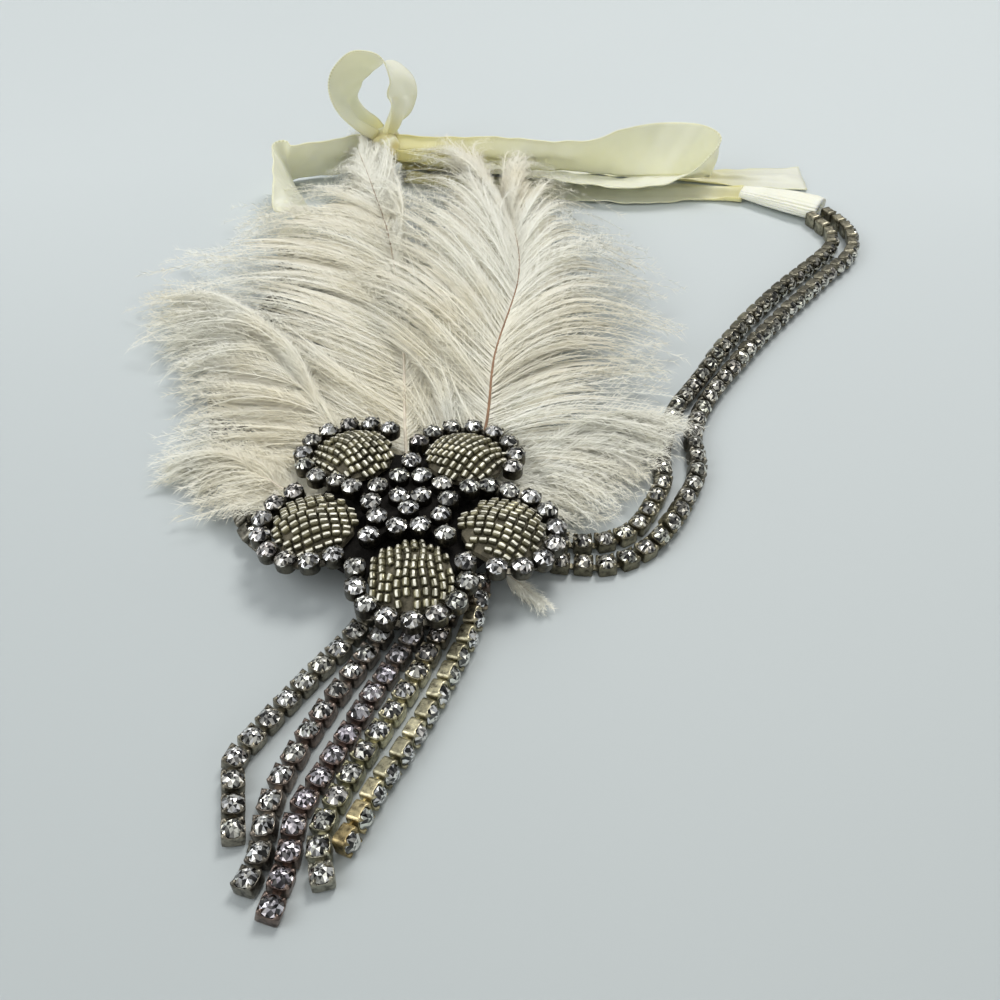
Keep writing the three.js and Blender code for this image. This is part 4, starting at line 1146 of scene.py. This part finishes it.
def lift_over(x, y):
    """How high a barb has to be to pass over the chains and the left sleeve."""
    height = np.zeros_like(x)
    for points, half, top in COVERED:
        distance = np.min(np.hypot(x[..., None] - points[:, 0], y[..., None] - points[:, 1]), axis=-1)
        near = np.clip((half + COVER_SLOPE - distance) / COVER_SLOPE, 0, 1)
        height = np.maximum(height, top * near * near * (3 - 2 * near))
    return height


def covered(route, half, top):
    return Path(route).at(np.linspace(0, 1, 40)), half, top


# The middle line, half width and height of each piece that barbs pass over
COVERED = [covered(LEFT_ROUTE, 5.0, 5.6), covered(RIGHT_INNER[3:], 2.4, 4.8),
           covered(RIGHT_OUTER[4:], 2.4, 4.8),
           (np.array([row[:3] for row in SLEEVES["sleeve_left"]]), 5.5, 6.2)]


def add_quill(bag, path, shown):
    """The quill's shaft, brown from the share where it shows."""
    shares = np.linspace(0, 1, QUILL_STEPS)
    middle = path.at(shares)
    ahead = path.tangent(shares)
    side = unit(np.cross(ahead, [0, 0, 1.0]))
    up = np.cross(side, ahead)
    angle = circle(QUILL_SIDES)[None, :, None]
    radius = (QUILL_WIDTH / 2 * (1 - 0.78 * shares))[:, None, None]
    rings = middle[:, None, :] + radius * (np.cos(angle) * side[:, None, :] + np.sin(angle) * up[:, None, :])
    mix = np.clip((shares[:-1] - shown) / 0.08 + 1, 0, 1)[:, None]
    tone = np.repeat(np.array(QUILL_CREAM) * (1 - mix) + np.array(QUILL_BROWN) * mix, QUILL_SIDES, axis=0)
    bag.add(rings.reshape(-1, 3), ring_faces(QUILL_STEPS, QUILL_SIDES)[:, ::-1], 1, tone, True,
            normals=unit(rings - middle[:, None, :]).reshape(-1, 3))


def make_plumes():
    for name, settings in PLUMES.items():
        path = Path(settings["quill"])
        bag = Bag()
        for side in (1, -1):
            add_locks(bag, path, settings, side)
            vane(bag, path, settings, side)
        add_quill(bag, path, QUILL_SHOWN.get(name, NOT_SHOWN))
        piece = bag.build(f"{name}_barbs", [BARBS, HORN, BED])
        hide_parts(name)


# Ribbon

def tucked(rows):
    """The same table with each end that meets the knot drawn into it."""
    rows = [list(row) for row in rows]
    for end in (0, -1):
        towards = np.array(KNOT) - rows[end][:3]
        apart = np.linalg.norm(towards)
        if apart < TUCK_REACH:
            rows[end][:3] = np.array(rows[end][:3]) + towards * TUCK / apart
    return rows


def ribbon_rows(rows):
    path = Path([row[:3] for row in rows])
    across = Path([row[3:6] for row in rows])
    share = Path([(row[6], 0, 0) for row in rows])
    steps = (len(rows) - 1) * 14
    t = np.linspace(0, 1, steps + 1)
    middle = path.at_parameter(t)
    ahead = unit(np.gradient(middle, axis=0))
    wide = across.at_parameter(t)
    wide = unit(wide - ahead * np.sum(wide * ahead, axis=1, keepdims=True))
    travelled = np.concatenate([[0], np.cumsum(np.linalg.norm(np.diff(middle, axis=0), axis=1))])
    return middle, ahead, wide, share.at_parameter(t)[:, 0], travelled


def pleat_height(u, share, travelled):
    """The rise of the cloth off its middle plane where it is gathered to less than its width."""
    spare = np.sqrt(np.clip(1 / np.clip(share, 0.35, 1) ** 2 - 1, 0, 6))
    waves = 1.5
    size = spare * share * RIBBON_WIDTH / (2 * math.pi * waves) * 1.1
    return size[:, None] * np.sin(2 * math.pi * waves * u[None, :] + 0.4 + travelled[:, None] * 0.01)


def crumple(u, travelled):
    """Shallow waves that keep the cloth from lying dead flat."""
    height = 0.34 * np.sin(travelled * 0.21 + 0.8)[:, None] * np.cos(3.1 * u + 0.6)[None, :]
    height = height + 0.2 * np.sin(travelled[:, None] * 0.47 + 6 * u[None, :])
    return height + 0.12 * np.sin(travelled[:, None] * 0.83 - 9 * u[None, :])


def ribbon(name, rows):
    middle, ahead, wide, share, travelled = ribbon_rows(tucked(rows))
    out = np.cross(ahead, wide)
    u = np.linspace(-0.5, 0.5, 21)
    rise = pleat_height(u, share, travelled) + crumple(u, travelled)
    offset = u[None, :, None] * (RIBBON_WIDTH * share)[:, None, None] * wide[:, None, :]
    sheet = middle[:, None, :] + offset + rise[..., None] * out[:, None, :]
    sheet[..., 2] = np.maximum(sheet[..., 2], 0.4)
    uv = np.stack(np.broadcast_arrays(travelled[:, None], u[None, :] + 0.5), axis=2)
    bag = Bag()
    count = len(u)
    row, column = np.meshgrid(np.arange(len(middle) - 1), np.arange(count - 1), indexing="ij")
    a = (row * count + column).ravel()
    faces = np.column_stack([a, a + 1, a + 1 + count, a + count])
    # Painted shade: cloth gathered narrower than its width is tinted darker gold in its folds
    fold_shade = np.clip((0.85 - share[:-1]) / 0.4, 0, 1)[:, None]
    tone = (1 - fold_shade) * np.ones(3) + fold_shade * np.array(FOLD_SHADE_TINT)
    bag.add(sheet.reshape(-1, 3), faces, 0, np.repeat(tone, count - 1, axis=0), True, uv.reshape(-1, 2))
    piece = bag.build(f"{name}_satin", [SATIN])
    thicken = piece.modifiers.new("thickness", "SOLIDIFY")
    thicken.thickness = RIBBON_THICK * MM
    thicken.offset = 0
    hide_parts(name)


def sleeve(name, rows):
    """A gathered end of ribbon: fine lengthwise pleats that run together where the tie leaves it."""
    path = Path([row[:3] for row in rows])
    t = np.linspace(0, 1, SLEEVE_STEPS + 1)
    middle = path.at_parameter(t)
    width = np.interp(t, np.linspace(0, 1, len(rows)), [row[3] for row in rows])
    height = SLEEVE_HEIGHT * (width / width[0]) ** 0.9
    ahead = unit(np.gradient(middle, axis=0))
    side = unit(np.column_stack([-ahead[:, 1], ahead[:, 0], np.zeros(len(t))]))
    angle = circle(SLEEVE_SIDES)[None, :]
    sway = 0.5 * np.sin(t * 4)[:, None]
    folds = 1 + 0.05 * np.abs(np.sin(angle * 8.5 + sway)) + 0.035 * np.sin(angle * 23 + 2 * sway)
    folds = folds + 0.03 * np.sin(angle * 3 + t[:, None] * 7)
    end = np.interp(t, [0, 0.05, 0.12], [0.86, 0.97, 1.0])[:, None]
    reach = end * folds * 0.97
    half = (side * width[:, None] / 2)[:, None, :]
    rings = middle[:, None, :] + (np.cos(angle) * reach)[..., None] * half
    rings[..., 2] += np.sin(angle) * reach * height[:, None] / 2
    rings[..., 2] = np.maximum(rings[..., 2], 0.1)
    inner = middle[:1, None, :] + (rings[:1] - middle[:1, None, :]) * 0.8 + (ahead[0] * 1.2)[None, None, :]
    tail = middle[-1:, None, :] + (rings[-1:] - middle[-1:, None, :]) * 0.3
    every = np.concatenate([inner, rings, tail], axis=0)
    bag = Bag()
    uv = np.stack(np.broadcast_arrays(np.arange(len(every))[:, None] * 1.0,
                                      np.linspace(0.2, 0.8, SLEEVE_SIDES)[None, :]), axis=2)
    bag.add(every.reshape(-1, 3), ring_faces(len(every), SLEEVE_SIDES), 0, smooth=True, uv=uv.reshape(-1, 2))
    piece = bag.build(f"{name}_satin", [WHITE_SATIN])
    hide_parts(name)


def make_knot():
    """The bow's knot: a small creased wrap of ribbon with rounded ends."""
    angle = circle(KNOT_SIDES)[None, :]
    along = np.linspace(-1, 1, KNOT_STEPS + 1)[:, None]
    profile = np.maximum(1 - np.abs(along) ** 2.8, 0.01) ** 0.45
    creases = 1.04 - 0.15 * np.abs(np.sin(2.5 * angle + 1.5 * along)) ** 0.7
    creases = creases + 0.07 * np.sin(2 * angle - 2.2 * along + 1) + 0.03 * np.sin(7 * angle + 6 * along)
    radius = KNOT_RADIUS * 1.1 * profile * creases
    lean = 0.9 * np.sin(2 * along)
    rings = np.stack(np.broadcast_arrays(KNOT[0] + along * KNOT_WIDTH * 0.56 + 0.5 * np.sin(3 * angle),
                                         KNOT[1] + radius * np.cos(angle) + lean,
                                         KNOT[2] + radius * np.sin(angle) * 0.94), axis=2)
    bag = Bag()
    uv = np.stack(np.broadcast_arrays(angle * KNOT_RADIUS, 0.5 + 0.4 * along), axis=2)
    # Painted shade: the grooves between the creases are tinted darker gold
    crease_shade = np.abs(np.sin(2.5 * angle + 1.5 * along)) ** 0.7
    shade = crease_shade[:-1, :, None] * np.array(FOLD_SHADE_TINT) + (1 - crease_shade[:-1, :, None])
    bag.add(rings.reshape(-1, 3), ring_faces(len(rings), KNOT_SIDES), 0, shade.reshape(-1, 3), True,
            uv.reshape(-1, 2))
    piece = bag.build("bow_knot_satin", [SATIN])
    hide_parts("bow_knot")


# Carried-over solids, floor, lights and camera

def dress_solids():
    for name, cad in frame["nodes"].items():
        material = {"flower_backing": FELT}.get(name, PAD if name.startswith("petal_") else None)
        if material is None:
            continue
        cad.data.materials.clear()
        cad.data.materials.append(material)


def make_stage():
    mesh = bpy.data.meshes.new("floor")
    corners = [(x * FLOOR_HALF, y * FLOOR_HALF, 0) for x, y in ((-1, -1), (1, -1), (1, 1), (-1, 1))]
    mesh.from_pydata(corners, [], [(0, 1, 2, 3)])
    mesh.materials.append(floor_material())
    floor = bpy.data.objects.new("floor", mesh)
    bpy.context.scene.collection.objects.link(floor)


def area_light(name, position, size, power, colour):
    """A square lamp that points at the part."""
    data = bpy.data.lights.new(name, "AREA")
    data.size = size
    data.energy = power
    data.color = colour
    light = bpy.data.objects.new(name, data)
    light.location = position
    light.rotation_euler = (-Vector(position)).to_track_quat("-Z", "Y").to_euler()
    bpy.context.scene.collection.objects.link(light)


def make_lights():
    world = bpy.data.worlds.new("studio")
    bpy.context.scene.world = world
    world.use_nodes = True
    tree = world.node_tree
    background = tree.nodes["Background"]
    # A soft room: bright windows and darker walls overhead for the stones to mirror
    direction = node(tree, "ShaderNodeTexCoord").outputs["Generated"]
    walls = [(0.38, (0.10, 0.105, 0.11)), (0.48, (0.58, 0.60, 0.61)), (0.57, (1.0, 1.02, 1.03)),
             (0.645, (3.6, 3.6, 3.5))]
    room = ramp(tree, noise(tree, 2.3, 2, 0.5, direction), walls)
    # The room shows in reflections only: behind the part there is plain pale paper
    seen = node(tree, "ShaderNodeLightPath").outputs["Is Camera Ray"]
    tree.links.new(mixed(tree, "MIX", seen, room, PAPER), background.inputs["Color"])
    background.inputs["Strength"].default_value = ROOM_STRENGTH
    for light in LIGHTS:
        area_light(*light)


def make_camera():
    data = bpy.data.cameras.new("camera")
    data.lens = LENS
    data.sensor_width = SENSOR_WIDTH
    data.clip_start = 0.01
    camera = bpy.data.objects.new("camera", data)
    camera.location = (np.array(CAMERA_PLACE) + OFFSET) * MM
    camera.rotation_euler = (math.radians(CAMERA_TILT), 0, 0)
    bpy.context.scene.collection.objects.link(camera)
    bpy.context.scene.camera = camera


bpy.context.scene.view_settings.view_transform = "Standard"
make_camera()
make_stage()
make_lights()
dress_solids()
make_chains()
make_flower()
make_plumes()
for ribbon_name, ribbon_table in RIBBONS.items():
    ribbon(ribbon_name, ribbon_table)
for sleeve_name, sleeve_table in SLEEVES.items():
    sleeve(sleeve_name, sleeve_table)
make_knot()
